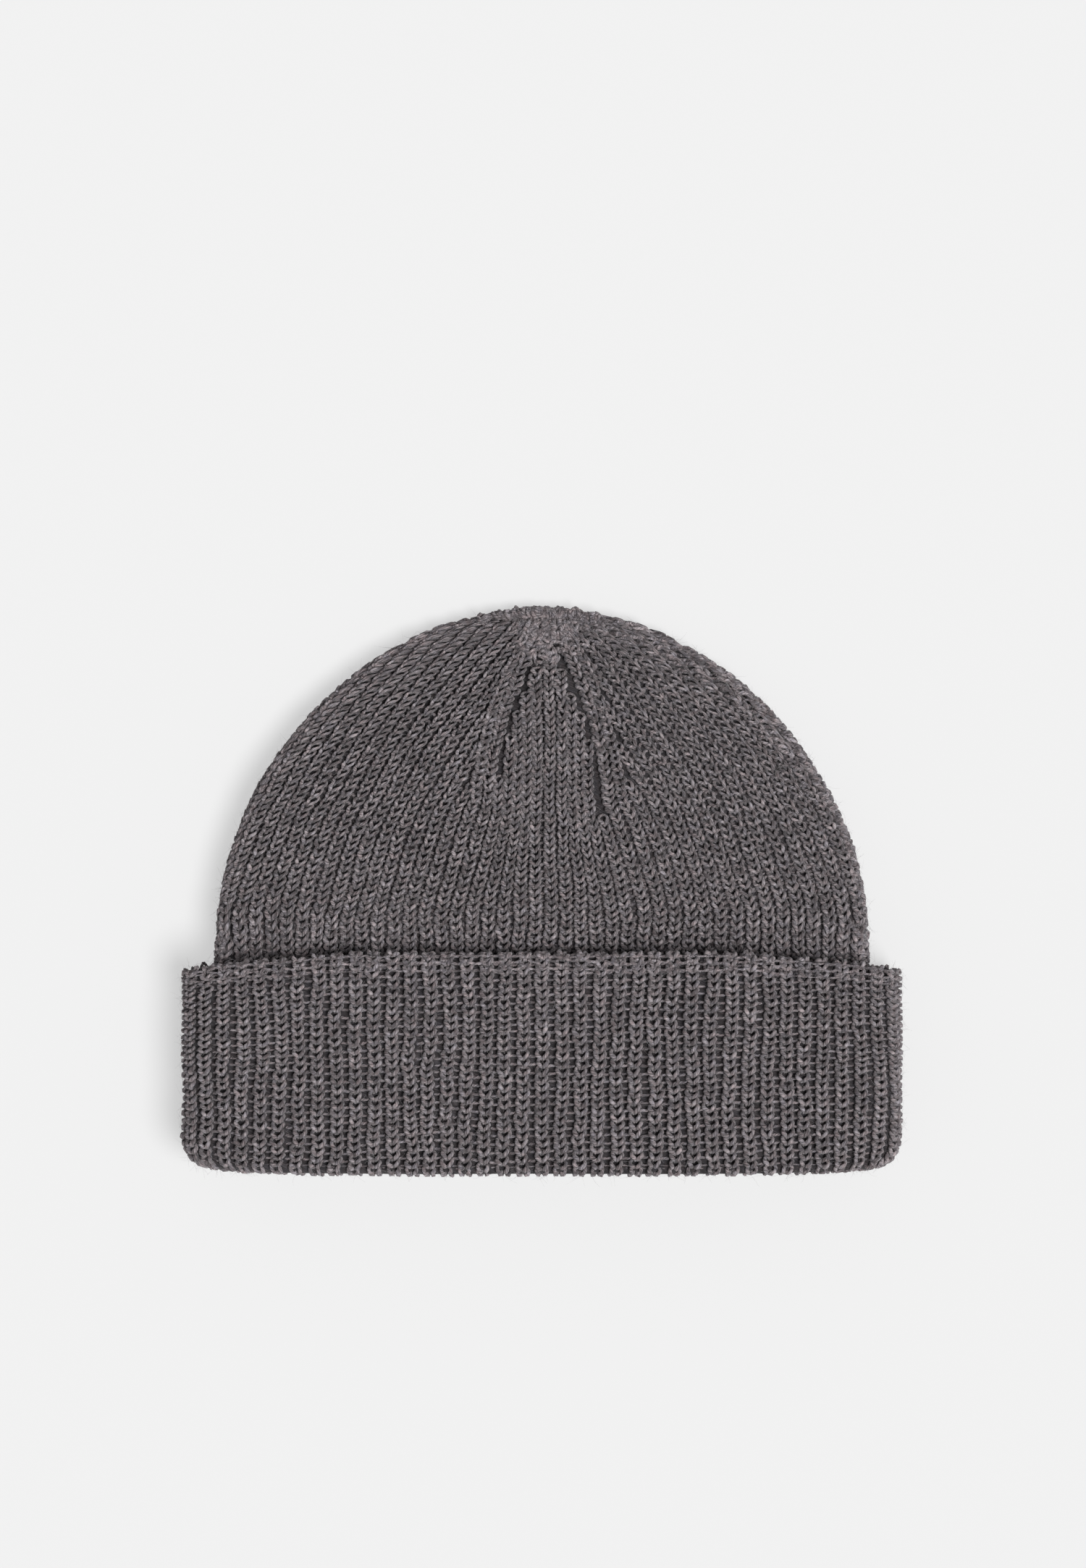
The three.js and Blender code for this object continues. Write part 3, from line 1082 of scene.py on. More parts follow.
class MeshParts:
    """Collects vertices, quads and yarn coordinates, and makes one object of them."""

    def __init__(self) -> None:
        """Starts empty."""
        self.vertices: list[Array] = []
        self.quads: list[Array] = []
        self.corners: list[Array] = []
        self.tones: list[Array] = []
        self.count = 0

    def add(self, piece: Piece, tone: float | Array = 0.5) -> None:
        """Adds one element.

        Args:
            piece: The element.
            tone: How light it is from 0 to 1, for each vertex or for all.
        """
        self.vertices.append(piece.vertices)
        self.quads.append(piece.quads + self.count)
        self.corners.append(piece.corners)
        self.tones.append(np.broadcast_to(tone, (len(piece.vertices),)).astype(float))
        self.count += len(piece.vertices)

    def add_repeated(
        self, pieces: list[Piece], places: "Frames | Laid", rng: np.random.Generator, unrest: float
    ) -> None:
        """Adds a copy of one of the pieces at every place, each one a little unlike its neighbours.

        Args:
            pieces: Variants of the element.
            places: Where the copies stand, or how they are laid on a surface.
            rng: Random source.
            unrest: How unlike they are.
        """
        laid = places if isinstance(places, Laid) else None
        frames = places.frames if isinstance(places, Laid) else places
        count = len(frames.origin)
        choice = rng.integers(0, len(pieces), count)
        shift = rng.normal(0.0, unrest * 0.1 * MM, (count, 3))
        turn = rng.normal(0.0, unrest * 0.07, count)
        size = 1.0 + rng.normal(0.0, unrest * 0.05, (count, 2))
        tone = rng.random(count)
        start = rng.uniform(0.0, 40.0, count)
        for kind, piece in enumerate(pieces):
            chosen = np.flatnonzero(choice == kind)
            if not len(chosen):
                continue
            local = piece.vertices[None]
            cos, sin = np.cos(turn[chosen])[:, None], np.sin(turn[chosen])[:, None]
            u = local[..., 0] * cos - local[..., 1] * sin
            v = local[..., 0] * sin + local[..., 1] * cos
            scale = frames.scale[chosen] * size[chosen]
            u = u * scale[:, :1] + shift[chosen, :1]
            v = v * scale[:, 1:] + shift[chosen, 1:2]
            w = local[..., 2] * np.sqrt(scale[:, :1]) + shift[chosen, 2:]
            if laid is not None:
                world = wrapped(laid, chosen, u, v, w)
            else:
                world = frames.origin[chosen][:, None] + u[..., None] * frames.across[chosen][:, None]
                world = world + v[..., None] * frames.along[chosen][:, None]
                world = world + w[..., None] * frames.out[chosen][:, None]
            step = len(piece.vertices)
            offsets = self.count + np.arange(len(chosen)) * step
            quads = piece.quads[None] + offsets[:, None, None]
            corners = np.broadcast_to(piece.corners, (len(chosen), *piece.corners.shape)).copy()
            corners[..., 1] += start[chosen][:, None, None]
            self.vertices.append(world.reshape(-1, 3))
            self.quads.append(quads.reshape(-1, 4))
            self.corners.append(corners.reshape(-1, 4, 2))
            self.tones.append(np.repeat(tone[chosen], step))
            self.count += len(chosen) * step

    def make(self, name: str, material: bpy.types.Material) -> bpy.types.Object:
        """Makes the object, smooth shaded, with its yarn coordinates and tones.

        Args:
            name: Its name.
            material: Its material.

        Returns:
            The object.
        """
        vertices = np.concatenate(self.vertices).astype(np.float32)
        vertices[:, 2] = np.maximum(vertices[:, 2], 0.05 * MM)
        quads = np.concatenate(self.quads).astype(np.int32)
        corners = np.concatenate(self.corners).astype(np.float32)
        mesh = bpy.data.meshes.new(name)
        mesh.vertices.add(len(vertices))
        mesh.vertices.foreach_set("co", vertices.ravel())
        mesh.loops.add(quads.size)
        mesh.loops.foreach_set("vertex_index", quads.ravel())
        mesh.polygons.add(len(quads))
        mesh.polygons.foreach_set("loop_start", np.arange(len(quads), dtype=np.int32) * 4)
        mesh.polygons.foreach_set("use_smooth", np.ones(len(quads), bool))
        mesh.update(calc_edges=True)
        mesh.uv_layers.new(name="yarn").data.foreach_set("uv", corners.ravel())
        tone = mesh.attributes.new("tone", "FLOAT", "POINT")
        tone.data.foreach_set("value", np.concatenate(self.tones).astype(np.float32))
        mesh.materials.append(material)
        made = bpy.data.objects.new(name, mesh)
        bpy.context.collection.objects.link(made)
        LOG.info("%s: %d faces", name, len(quads))
        return made


class NodeBench:
    """Adds nodes to a tree and joins them in few words."""

    def __init__(self, tree: Tree) -> None:
        """Works on one node tree."""
        self.tree = tree

    @staticmethod
    def fill(node: bpy.types.Node, **values: object) -> None:
        """Sets a node's inputs, given as socket names with _ for each space."""
        for name, value in values.items():
            node.inputs[name.replace("_", " ")].default_value = value

    def add(self, kind: str, **settings: object) -> bpy.types.Node:
        """A new node.

        Args:
            kind: Its type.
            settings: Its properties.

        Returns:
            The node.
        """
        node = self.tree.nodes.new(kind)
        for name, value in settings.items():
            setattr(node, name, value)
        return node

    def join(self, source: Socket, target: Socket) -> None:
        """Joins two sockets."""
        self.tree.links.new(source, target)

    def maths(self, operation: str, *values: object) -> Socket:
        """A maths node.

        Args:
            operation: What it does.
            values: Sockets or numbers.

        Returns:
            Its result.
        """
        node = self.add("ShaderNodeMath", operation=operation)
        given = (*values, 0.0)[: max(len(values), 2)]
        for socket, value in zip(node.inputs, given):
            if isinstance(value, Socket):
                self.join(value, socket)
            else:
                socket.default_value = value
        return node.outputs[0]

    def noise(self, vector: Socket, scale: float, detail: float = 2.0) -> Socket:
        """A noise node.

        Args:
            vector: Where it is read.
            scale: How fine it is.
            detail: Its finer layers.

        Returns:
            Its value.
        """
        node = self.add("ShaderNodeTexNoise")
        self.fill(node, Scale=scale, Detail=detail)
        self.join(vector, node.inputs["Vector"])
        return node.outputs["Fac"]

    def ramp(self, value: Socket, stops: list[tuple[float, Colour]]) -> Socket:
        """A colour ramp.

        Args:
            value: What it is read by.
            stops: Places and colours.

        Returns:
            Its colour.
        """
        node = self.add("ShaderNodeValToRGB")
        elements = node.color_ramp.elements
        while len(elements) < len(stops):
            elements.new(0.5)
        for element, (place, colour) in zip(elements, stops):
            element.position = place
            element.color = (*colour, 1.0)
        self.join(value, node.inputs["Fac"])
        return node.outputs["Color"]

    def mix(self, kind: str, share: object, first: object, second: object) -> Socket:
        """Two colours mixed.

        Args:
            kind: The blend type.
            share: How much of the second.
            first: Socket or colour.
            second: Socket or colour.

        Returns:
            The mixed colour.
        """
        node = self.add("ShaderNodeMix", data_type="RGBA", blend_type=kind)
        places = (node.inputs["Factor"], node.inputs[6], node.inputs[7])
        for socket, value in zip(places, (share, first, second)):
            if isinstance(value, Socket):
                self.join(value, socket)
            elif isinstance(value, tuple):
                socket.default_value = (*value, 1.0)
            else:
                socket.default_value = value
        return node.outputs[2]


def new_group(name: str, inputs: dict[str, str], outputs: dict[str, str]) -> Tree:
    """An empty shader node group.

    Args:
        name: Its name.
        inputs: Socket names to socket kinds.
        outputs: The same for what it puts out.

    Returns:
        The group.
    """
    group = bpy.data.node_groups.new(name, "ShaderNodeTree")
    for socket, kind in inputs.items():
        group.interface.new_socket(socket, in_out="INPUT", socket_type=kind)
    for socket, kind in outputs.items():
        group.interface.new_socket(socket, in_out="OUTPUT", socket_type=kind)
    return group


def twisted_fibres_group() -> Tree:
    """Fibres that wind round a yarn: coarse and fine streaks, and their relief.

    Returns:
        The group, with the yarn's coordinates in, and Coarse, Fine and Relief out.
    """
    group = new_group(
        "twisted_fibres",
        {"Yarn": "NodeSocketVector", "Twist": "NodeSocketFloat"},
        {"Coarse": "NodeSocketFloat", "Fine": "NodeSocketFloat", "Relief": "NodeSocketFloat"},
    )
    bench = NodeBench(group)
    given = bench.add("NodeGroupInput")
    split = bench.add("ShaderNodeSeparateXYZ")
    bench.join(given.outputs["Yarn"], split.inputs[0])
    turn = bench.maths("MULTIPLY", split.outputs["X"], 2.0 * math.pi)
    wind = bench.maths("MULTIPLY", split.outputs["Y"], given.outputs["Twist"])
    angle = bench.maths("ADD", turn, wind)
    place = bench.add("ShaderNodeCombineXYZ")
    bench.join(bench.maths("COSINE", angle), place.inputs["X"])
    bench.join(bench.maths("SINE", angle), place.inputs["Y"])
    bench.join(bench.maths("MULTIPLY", split.outputs["Y"], 0.42), place.inputs["Z"])
    coarse = bench.noise(place.outputs[0], 1.25, 1.0)
    fine = bench.noise(place.outputs[0], 4.5, 2.0)
    result = bench.add("NodeGroupOutput")
    bench.join(coarse, result.inputs["Coarse"])
    bench.join(fine, result.inputs["Fine"])
    bench.join(bench.maths("ADD", coarse, bench.maths("MULTIPLY", fine, 0.8)), result.inputs["Relief"])
    return group


def melange_group() -> Tree:
    """Colour of a yarn spun from dark, middle and light wool, with faint warm and cool patches.

    Returns:
        The group, with streaks, tone, place and three wools in, and Color out.
    """
    group = new_group(
        "melange",
        {
            "Coarse": "NodeSocketFloat",
            "Fine": "NodeSocketFloat",
            "Tone": "NodeSocketFloat",
            "Place": "NodeSocketVector",
            "Dark": "NodeSocketColor",
            "Middle": "NodeSocketColor",
            "Light": "NodeSocketColor",
        },
        {"Color": "NodeSocketColor"},
    )
    bench = NodeBench(group)
    given = bench.add("NodeGroupInput")
    streak = bench.maths("ADD", given.outputs["Coarse"], given.outputs["Fine"])
    toned = bench.maths("MULTIPLY_ADD", given.outputs["Tone"], 0.14, -0.07)
    cloud = bench.noise(given.outputs["Place"], 420.0, 1.0)
    clouded = bench.maths("MULTIPLY_ADD", cloud, 0.42, -0.21)
    value = bench.maths("ADD", bench.maths("ADD", streak, toned), clouded)
    share = bench.add("ShaderNodeMapRange")
    bench.join(value, share.inputs["Value"])
    bench.fill(share, From_Min=0.70, From_Max=1.30)
    dark_part = bench.maths("MULTIPLY", share.outputs[0], 2.0)
    dark_part.node.use_clamp = True
    light_part = bench.maths("MULTIPLY_ADD", share.outputs[0], 2.0, -1.0)
    light_part.node.use_clamp = True
    low = bench.mix("MIX", dark_part, given.outputs["Dark"], given.outputs["Middle"])
    colour = bench.mix("MIX", light_part, low, given.outputs["Light"])
    tint = bench.ramp(
        bench.noise(given.outputs["Place"], 520.0, 2.0),
        [(0.34, (0.97, 1.00, 1.05)), (0.5, (1.0, 1.0, 1.0)), (0.66, (1.05, 0.985, 0.975))],
    )
    result = bench.add("NodeGroupOutput")
    bench.join(bench.mix("MULTIPLY", 1.0, colour, tint), result.inputs["Color"])
    return group


def plain_weave_group() -> Tree:
    """Relief of a fine woven tape, from its place: warp and weft ribs.

    Returns:
        The group, with Place and Pitch in, and Relief out.
    """
    group = new_group(
        "plain_weave",
        {"Place": "NodeSocketVector", "Pitch": "NodeSocketFloat"},
        {"Relief": "NodeSocketFloat"},
    )
    bench = NodeBench(group)
    given = bench.add("NodeGroupInput")
    split = bench.add("ShaderNodeSeparateXYZ")
    bench.join(given.outputs["Place"], split.inputs[0])
    waves = []
    for axis in ("X", "Y"):
        turned = bench.maths("DIVIDE", split.outputs[axis], given.outputs["Pitch"])
        waves.append(bench.maths("SINE", bench.maths("MULTIPLY", turned, 2.0 * math.pi)))
    result = bench.add("NodeGroupOutput")
    bench.join(bench.maths("MULTIPLY", waves[0], waves[1]), result.inputs["Relief"])
    return group


@dataclass(frozen=True)
class YarnFinish:
    """Mélange wool yarn.

    Attributes:
        name: The material's name.
        slot: The record's slot.
        dark: The darkest wool in it.
        middle: The middle wool.
        light: The lightest wool.
        twist: Radians of twist for each millimetre.
        relief: Strength of the fibres' relief.
        roughness: Roughness of the wool.
        sheen: Weight of its soft edge light.
        effects: Makers of the shared groups that it uses.
    """

    name: str
    slot: str
    dark: Colour
    middle: Colour
    light: Colour
    twist: float = 2.2
    relief: float = 0.7
    roughness: float = 0.92
    sheen: float = 0.25
    effects: ClassVar[tuple[GroupMaker, ...]] = (twisted_fibres_group, melange_group)

    def build(self, fibres: Tree, melange: Tree) -> bpy.types.Material:
        """Makes the material from the shared groups.

        Args:
            fibres: The twisted fibres.
            melange: The wools' colours.

        Returns:
            The material.
        """
        material = bpy.data.materials.new(self.name)
        material.use_nodes = True
        bench = NodeBench(material.node_tree)
        surface = material.node_tree.nodes["Principled BSDF"]
        bench.fill(surface, Roughness=self.roughness, Sheen_Weight=self.sheen)
        bench.fill(surface, Sheen_Roughness=0.45, Specular_IOR_Level=0.2)
        yarn = bench.add("ShaderNodeUVMap", uv_map="yarn")
        place = bench.add("ShaderNodeTexCoord")
        tone = bench.add("ShaderNodeAttribute", attribute_name="tone")
        streaks = bench.add("ShaderNodeGroup", node_tree=fibres)
        bench.fill(streaks, Twist=self.twist)
        bench.join(yarn.outputs["UV"], streaks.inputs["Yarn"])
        colours = bench.add("ShaderNodeGroup", node_tree=melange)
        bench.join(streaks.outputs["Coarse"], colours.inputs["Coarse"])
        bench.join(streaks.outputs["Fine"], colours.inputs["Fine"])
        bench.join(tone.outputs["Fac"], colours.inputs["Tone"])
        bench.join(place.outputs["Object"], colours.inputs["Place"])
        bench.fill(colours, Dark=(*self.dark, 1.0), Middle=(*self.middle, 1.0), Light=(*self.light, 1.0))
        bench.join(colours.outputs["Color"], surface.inputs["Base Color"])
        bump = bench.add("ShaderNodeBump")
        bench.fill(bump, Strength=self.relief, Distance=0.25 * MM)
        bench.join(streaks.outputs["Relief"], bump.inputs["Height"])
        bench.join(bump.outputs["Normal"], surface.inputs["Normal"])
        return material


@dataclass(frozen=True)
class TapeFinish:
    """Woven satin tape or plain sewing thread, with a fine weave.

    Attributes:
        name: The material's name.
        slot: The record's slot.
        colour: Its colour.
        pitch: Distance between its threads.
        roughness: Roughness of the weave.
        effects: Makers of the shared groups that it uses.
    """

    name: str
    slot: str
    colour: Colour
    pitch: float = 0.35 * MM
    roughness: float = 0.42
    effects: ClassVar[tuple[GroupMaker, ...]] = (plain_weave_group,)

    def build(self, weave: Tree) -> bpy.types.Material:
        """Makes the material from the shared weave.

        Args:
            weave: The plain weave.

        Returns:
            The material.
        """
        material = bpy.data.materials.new(self.name)
        material.use_nodes = True
        bench = NodeBench(material.node_tree)
        surface = material.node_tree.nodes["Principled BSDF"]
        bench.fill(surface, Roughness=self.roughness, Sheen_Weight=0.15)
        place = bench.add("ShaderNodeTexCoord")
        threads = bench.add("ShaderNodeGroup", node_tree=weave)
        bench.fill(threads, Pitch=self.pitch)
        bench.join(place.outputs["Object"], threads.inputs["Place"])
        soiled = bench.noise(place.outputs["Object"], 240.0, 2.0)
        darker = tuple(0.86 * part for part in self.colour)
        bench.join(bench.mix("MIX", soiled, darker, self.colour), surface.inputs["Base Color"])
        bump = bench.add("ShaderNodeBump")
        bench.fill(bump, Strength=0.5, Distance=0.08 * MM)
        bench.join(threads.outputs["Relief"], bump.inputs["Height"])
        bench.join(bump.outputs["Normal"], surface.inputs["Normal"])
        return material


BODY_WOOLS = ((0.037, 0.0315, 0.0332), (0.131, 0.1138, 0.1195), (0.44, 0.393, 0.406))
CUFF_WOOLS = ((0.048, 0.041, 0.043), (0.150, 0.1305, 0.137), (0.42, 0.375, 0.388))
# Wools of the cores behind the loops, far darker than the yarn: painted shade seen in the gaps between the
# loops.
CORE_SHADE_WOOLS = ((0.018, 0.016, 0.017), (0.035, 0.031, 0.033), (0.07, 0.063, 0.067))
SEAM_WOOLS = ((0.045, 0.04, 0.042), (0.12, 0.108, 0.113), (0.28, 0.262, 0.27))
FIBRE_WOOLS = ((0.16, 0.145, 0.15), (0.34, 0.32, 0.325), (0.62, 0.60, 0.59))

BODY_YARN = YarnFinish("body_yarn", "knit_wool", *BODY_WOOLS)
CUFF_YARN = YarnFinish("cuff_yarn", "cuff_wool", *CUFF_WOOLS)
# The cores' finishes: the dark core wools above, which paint the shade between the loops.
BODY_CORE_SHADE = YarnFinish("body_core_shade", "knit_wool", *CORE_SHADE_WOOLS)
CUFF_CORE_SHADE = YarnFinish("cuff_core", "cuff_wool", *CORE_SHADE_WOOLS)
SEAM_YARN = YarnFinish("seam_yarn", "seam_yarn", *SEAM_WOOLS)
LOOSE_WOOL = YarnFinish("loose_wool", "knit_wool", *FIBRE_WOOLS, sheen=0.0)
CUFF_LOOSE_WOOL = YarnFinish("cuff_loose_wool", "cuff_wool", *FIBRE_WOOLS, sheen=0.0)
LABEL_SATIN = TapeFinish("label_satin", "label_satin", (0.80, 0.785, 0.75))
LABEL_THREAD = TapeFinish("label_thread", "label_thread", (0.70, 0.69, 0.66), 0.2 * MM, 0.6)


@dataclass
class Wardrobe:
    """Builds each finish once and dresses pieces with them.

    Attributes:
        materials: The finishes made so far.
        groups: The shared effects made so far.
    """

    materials: dict[str, bpy.types.Material] = field(default_factory=dict)
    groups: dict[str, Tree] = field(default_factory=dict)

    def dress(self, finish: YarnFinish | TapeFinish) -> bpy.types.Material:
        """The material of a finish, made with its shared groups when it is first asked for.

        Args:
            finish: The finish.

        Returns:
            The material.
        """
        for maker in finish.effects:
            if maker.__name__ not in self.groups:
                self.groups[maker.__name__] = maker()
        if finish.name not in self.materials:
            groups = [self.groups[maker.__name__] for maker in finish.effects]
            self.materials[finish.name] = finish.build(*groups)
        return self.materials[finish.name]


def place_piece(piece: bpy.types.Object, body: Layer | str, slot: str, *nodes: str) -> bpy.types.Object:
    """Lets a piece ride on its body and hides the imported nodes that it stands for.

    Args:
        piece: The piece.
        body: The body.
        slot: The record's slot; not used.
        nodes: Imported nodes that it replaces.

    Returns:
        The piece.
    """
    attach(piece, body.value if isinstance(body, Layer) else body)
    if nodes:
        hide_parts(*nodes)
    return piece


def loop_variants(shape: LoopShape, seed: int, count: int = 6, unrest: float = 0.07 * MM) -> list[Piece]:
    """A few unlike copies of one stitch.

    Args:
        shape: The stitch.
        seed: Chooses the differences.
        count: How many.
        unrest: How unlike they are.

    Returns:
        The copies.
    """
    rng = np.random.default_rng(seed)
    share = np.linspace(0.0, 1.0, shape.steps + 1)
    radii = shape.radius * (1.0 - 0.28 * np.abs(np.cos(2.0 * math.pi * share)) ** 3)
    return [tube(shape.path(rng, unrest), radii, shape.sides) for _ in range(count)]


@dataclass
class RibShell:
    """Shared making of a shell's loops, core and loose fibres.

    Attributes:
        form, gauge: The hat's outline, the knit's sizes.
        wardrobe: The finishes.
        maker, layout: Make the surfaces, lay the wales.
    """

    form: HatForm
    gauge: KnitGauge
    wardrobe: Wardrobe
    maker: SurfaceMaker
    layout: WaleLayout

    def rib_pieces(
        self, prefix: str, laid: Laid, layer: Layer, yarn: YarnFinish, shape: LoopShape, seed: int
    ) -> list[bpy.types.Object]:
        """Lays the loops in pieces: front and back, left and right.

        Args:
            prefix: Start of the pieces' names.
            laid: The stitches.
            layer: The body they ride on.
            yarn: Their finish.
            shape: The stitch.
            seed: Chooses the small differences.

        Returns:
            The pieces.
        """
        variants = loop_variants(shape, seed)
        frames = laid.frames
        middle = self.form.thickness / 2.0 if layer is Layer.CUFF else self.form.body_thickness / 2.0
        made = []
        for side in Side:
            facing = frames.origin[:, 2] > middle if side is Side.FRONT else frames.origin[:, 2] <= middle
            for hand, chosen in (("left", frames.origin[:, 0] < 0), ("right", frames.origin[:, 0] >= 0)):
                keep = facing & chosen
                parts = MeshParts()
                rng = np.random.default_rng(seed + len(made))
                parts.add_repeated(variants, laid.only(keep), rng, 1.0)
                piece = parts.make(f"{prefix}_{side.value}_{hand}", self.wardrobe.dress(yarn))
                made.append(place_piece(piece, layer, yarn.slot))
        return made

    def core(
        self, name: str, layer: Layer, outer: Profile, inner: Profile,
        finish: YarnFinish, full: float, ribs: int, caps: bool,
    ) -> bpy.types.Object:
        """The dark backing behind the loops, its dark colour painted shade for the gaps between them: two
        skins joined at their ends, the outer one ribbed.

        Args:
            name: The piece's name.
            layer: The body it rides on.
            outer: Profile of its outer skin, from the mouth up.
            inner: Profile of its inner skin, from the mouth up.
            finish: Its finish.
            full: Half width at which wales lie evenly.
            ribs: How many ridges its outer skin has, or 0 for a plain one.
            caps: True where the shell closes at the crown.

        Returns:
            The core.
        """
        columns = np.arange(COLUMNS) / COLUMNS_PER_WALE
        ridges = np.cos(2.0 * math.pi * (columns * ribs / WALES - 0.5)) if ribs else 0.0 * columns
        skins = []
        for profile, relief in ((outer, self.gauge.rib_relief), (inner, 0.0)):
            patch = self.maker.patch(layer, profile, full)
            skins.append(patch.points + patch.normals() * (relief * ridges)[None, :, None])
        grid = np.concatenate([skins[0], skins[1][::-1]])
        rows = len(grid)
        index = np.arange(rows * COLUMNS).reshape(rows, COLUMNS)
        following = np.roll(index, -1, axis=1)
        spans = range(rows - 1) if caps else range(rows)
        quads = []
        for r in spans:
            n = (r + 1) % rows
            if caps and r == len(skins[0]) - 1:
                continue
            quads.append(np.stack([index[r], index[n], following[n], following[r]], -1))
        if caps:
            mouth = np.stack([index[-1], index[0], following[0], following[-1]], -1)
            quads.append(mouth)
            for r, flip in ((len(skins[0]) - 1, False), (len(skins[0]), True)):
                quads.append(self.closed_row(index[r], flip))
        quads = np.concatenate(quads)
        points = grid.reshape(-1, 3)
        corners = np.stack([np.zeros(quads.shape), points[quads][..., 1] / MM], -1)
        corners[..., 0] = points[quads][..., 0] / (6 * MM)
        parts = MeshParts()
        parts.add(Piece(points, quads, corners))
        return place_piece(parts.make(name, self.wardrobe.dress(finish)), layer, finish.slot)

    @staticmethod
    def closed_row(row: Array, flip: bool) -> Array:
        """Quads that zip a narrow row of points shut, front to back.

        Args:
            row: The row's vertices.
            flip: True to turn the quads over.

        Returns:
            The quads.
        """
        half = len(row) // 2
        front = row[: half + 1]
        back = np.concatenate([[row[0]], row[:half:-1], [row[half]]])
        quads = [np.stack([front[k], front[k + 1], back[k + 1], back[k]]) for k in range(1, half - 1)]
        quads = np.array(quads)
        return quads[:, ::-1] if flip else quads

    def loose_fibres(
        self, name: str, frames: Frames, layer: Layer, finish: YarnFinish, count: int, seed: int,
        lengths: tuple[float, float] = (1.5 * MM, 4.5 * MM), lift: float = 0.45, radius: float = 0.024 * MM,
    ) -> bpy.types.Object:
        """Fine fibres that stand off the yarn.

        Args:
            name: The piece's name.
            frames: The stitches they grow from.
            layer: The body they ride on.
            finish: Their finish.
            count: How many.
            seed: Chooses their places and curls.
            lengths: Shortest and longest.
            lift: How far they stand up, against how far they lie along.
            radius: Their radius.

        Returns:
            The fibres, one piece.
        """
        rng = np.random.default_rng(seed)
        pick = rng.integers(0, len(frames.origin), count)
        steps = 5
        share = np.linspace(0.0, 1.0, steps)
        across, along, out = frames.across[pick], frames.along[pick], frames.out[pick]
        heading = rng.uniform(0.0, 2.0 * math.pi, count)[:, None]
        rise = np.abs(rng.normal(lift, 0.35, count))[:, None]
        away = unit(across * np.cos(heading) + along * np.sin(heading) + out * rise)
        bend = unit(rng.normal(size=(count, 3)))
        length = rng.uniform(*lengths, count)[:, None]
        spot = rng.uniform(-1.0, 1.0, (count, 2))
        start = frames.origin[pick] + across * spot[:, :1] * 1.8 * MM + along * spot[:, 1:] * 1.1 * MM
        start = start + out * 0.9 * MM
        curl = rng.uniform(0.1, 0.6, count)[:, None]
        paths = []
        for t in share:
            droop = -out * 0.25 * rise * t**2
            paths.append(start + length * (away * t + bend * curl * t**2 + droop))
        path = np.stack(paths, 1)
        forward = unit(np.gradient(path, axis=1))
        first = unit(np.cross(forward, bend[:, None]))
        second = np.cross(forward, first)
        taper = radius * (1.0 - 0.6 * share)[None, :, None, None]
        angle = np.arange(3) * (2.0 * math.pi / 3.0)
        ring = first[:, :, None] * np.cos(angle)[:, None] + second[:, :, None] * np.sin(angle)[:, None]
        vertices = (path[:, :, None] + ring * taper).reshape(-1, 3)
        one = []
        for k in range(steps - 1):
            for s in range(3):
                n = (s + 1) % 3
                one.append((k * 3 + s, k * 3 + n, k * 3 + 3 + n, k * 3 + 3 + s))
        one = np.array(one)
        quads = (one[None] + (np.arange(count) * steps * 3)[:, None, None]).reshape(-1, 4)
        corners = np.zeros((len(quads), 4, 2))
        corners[..., 1] = np.repeat(rng.uniform(0, 50, count), len(one))[:, None]
        parts = MeshParts()
        parts.add(Piece(vertices, quads, corners), np.repeat(rng.random(count), steps * 3))
        return place_piece(parts.make(name, self.wardrobe.dress(finish)), layer, finish.slot)


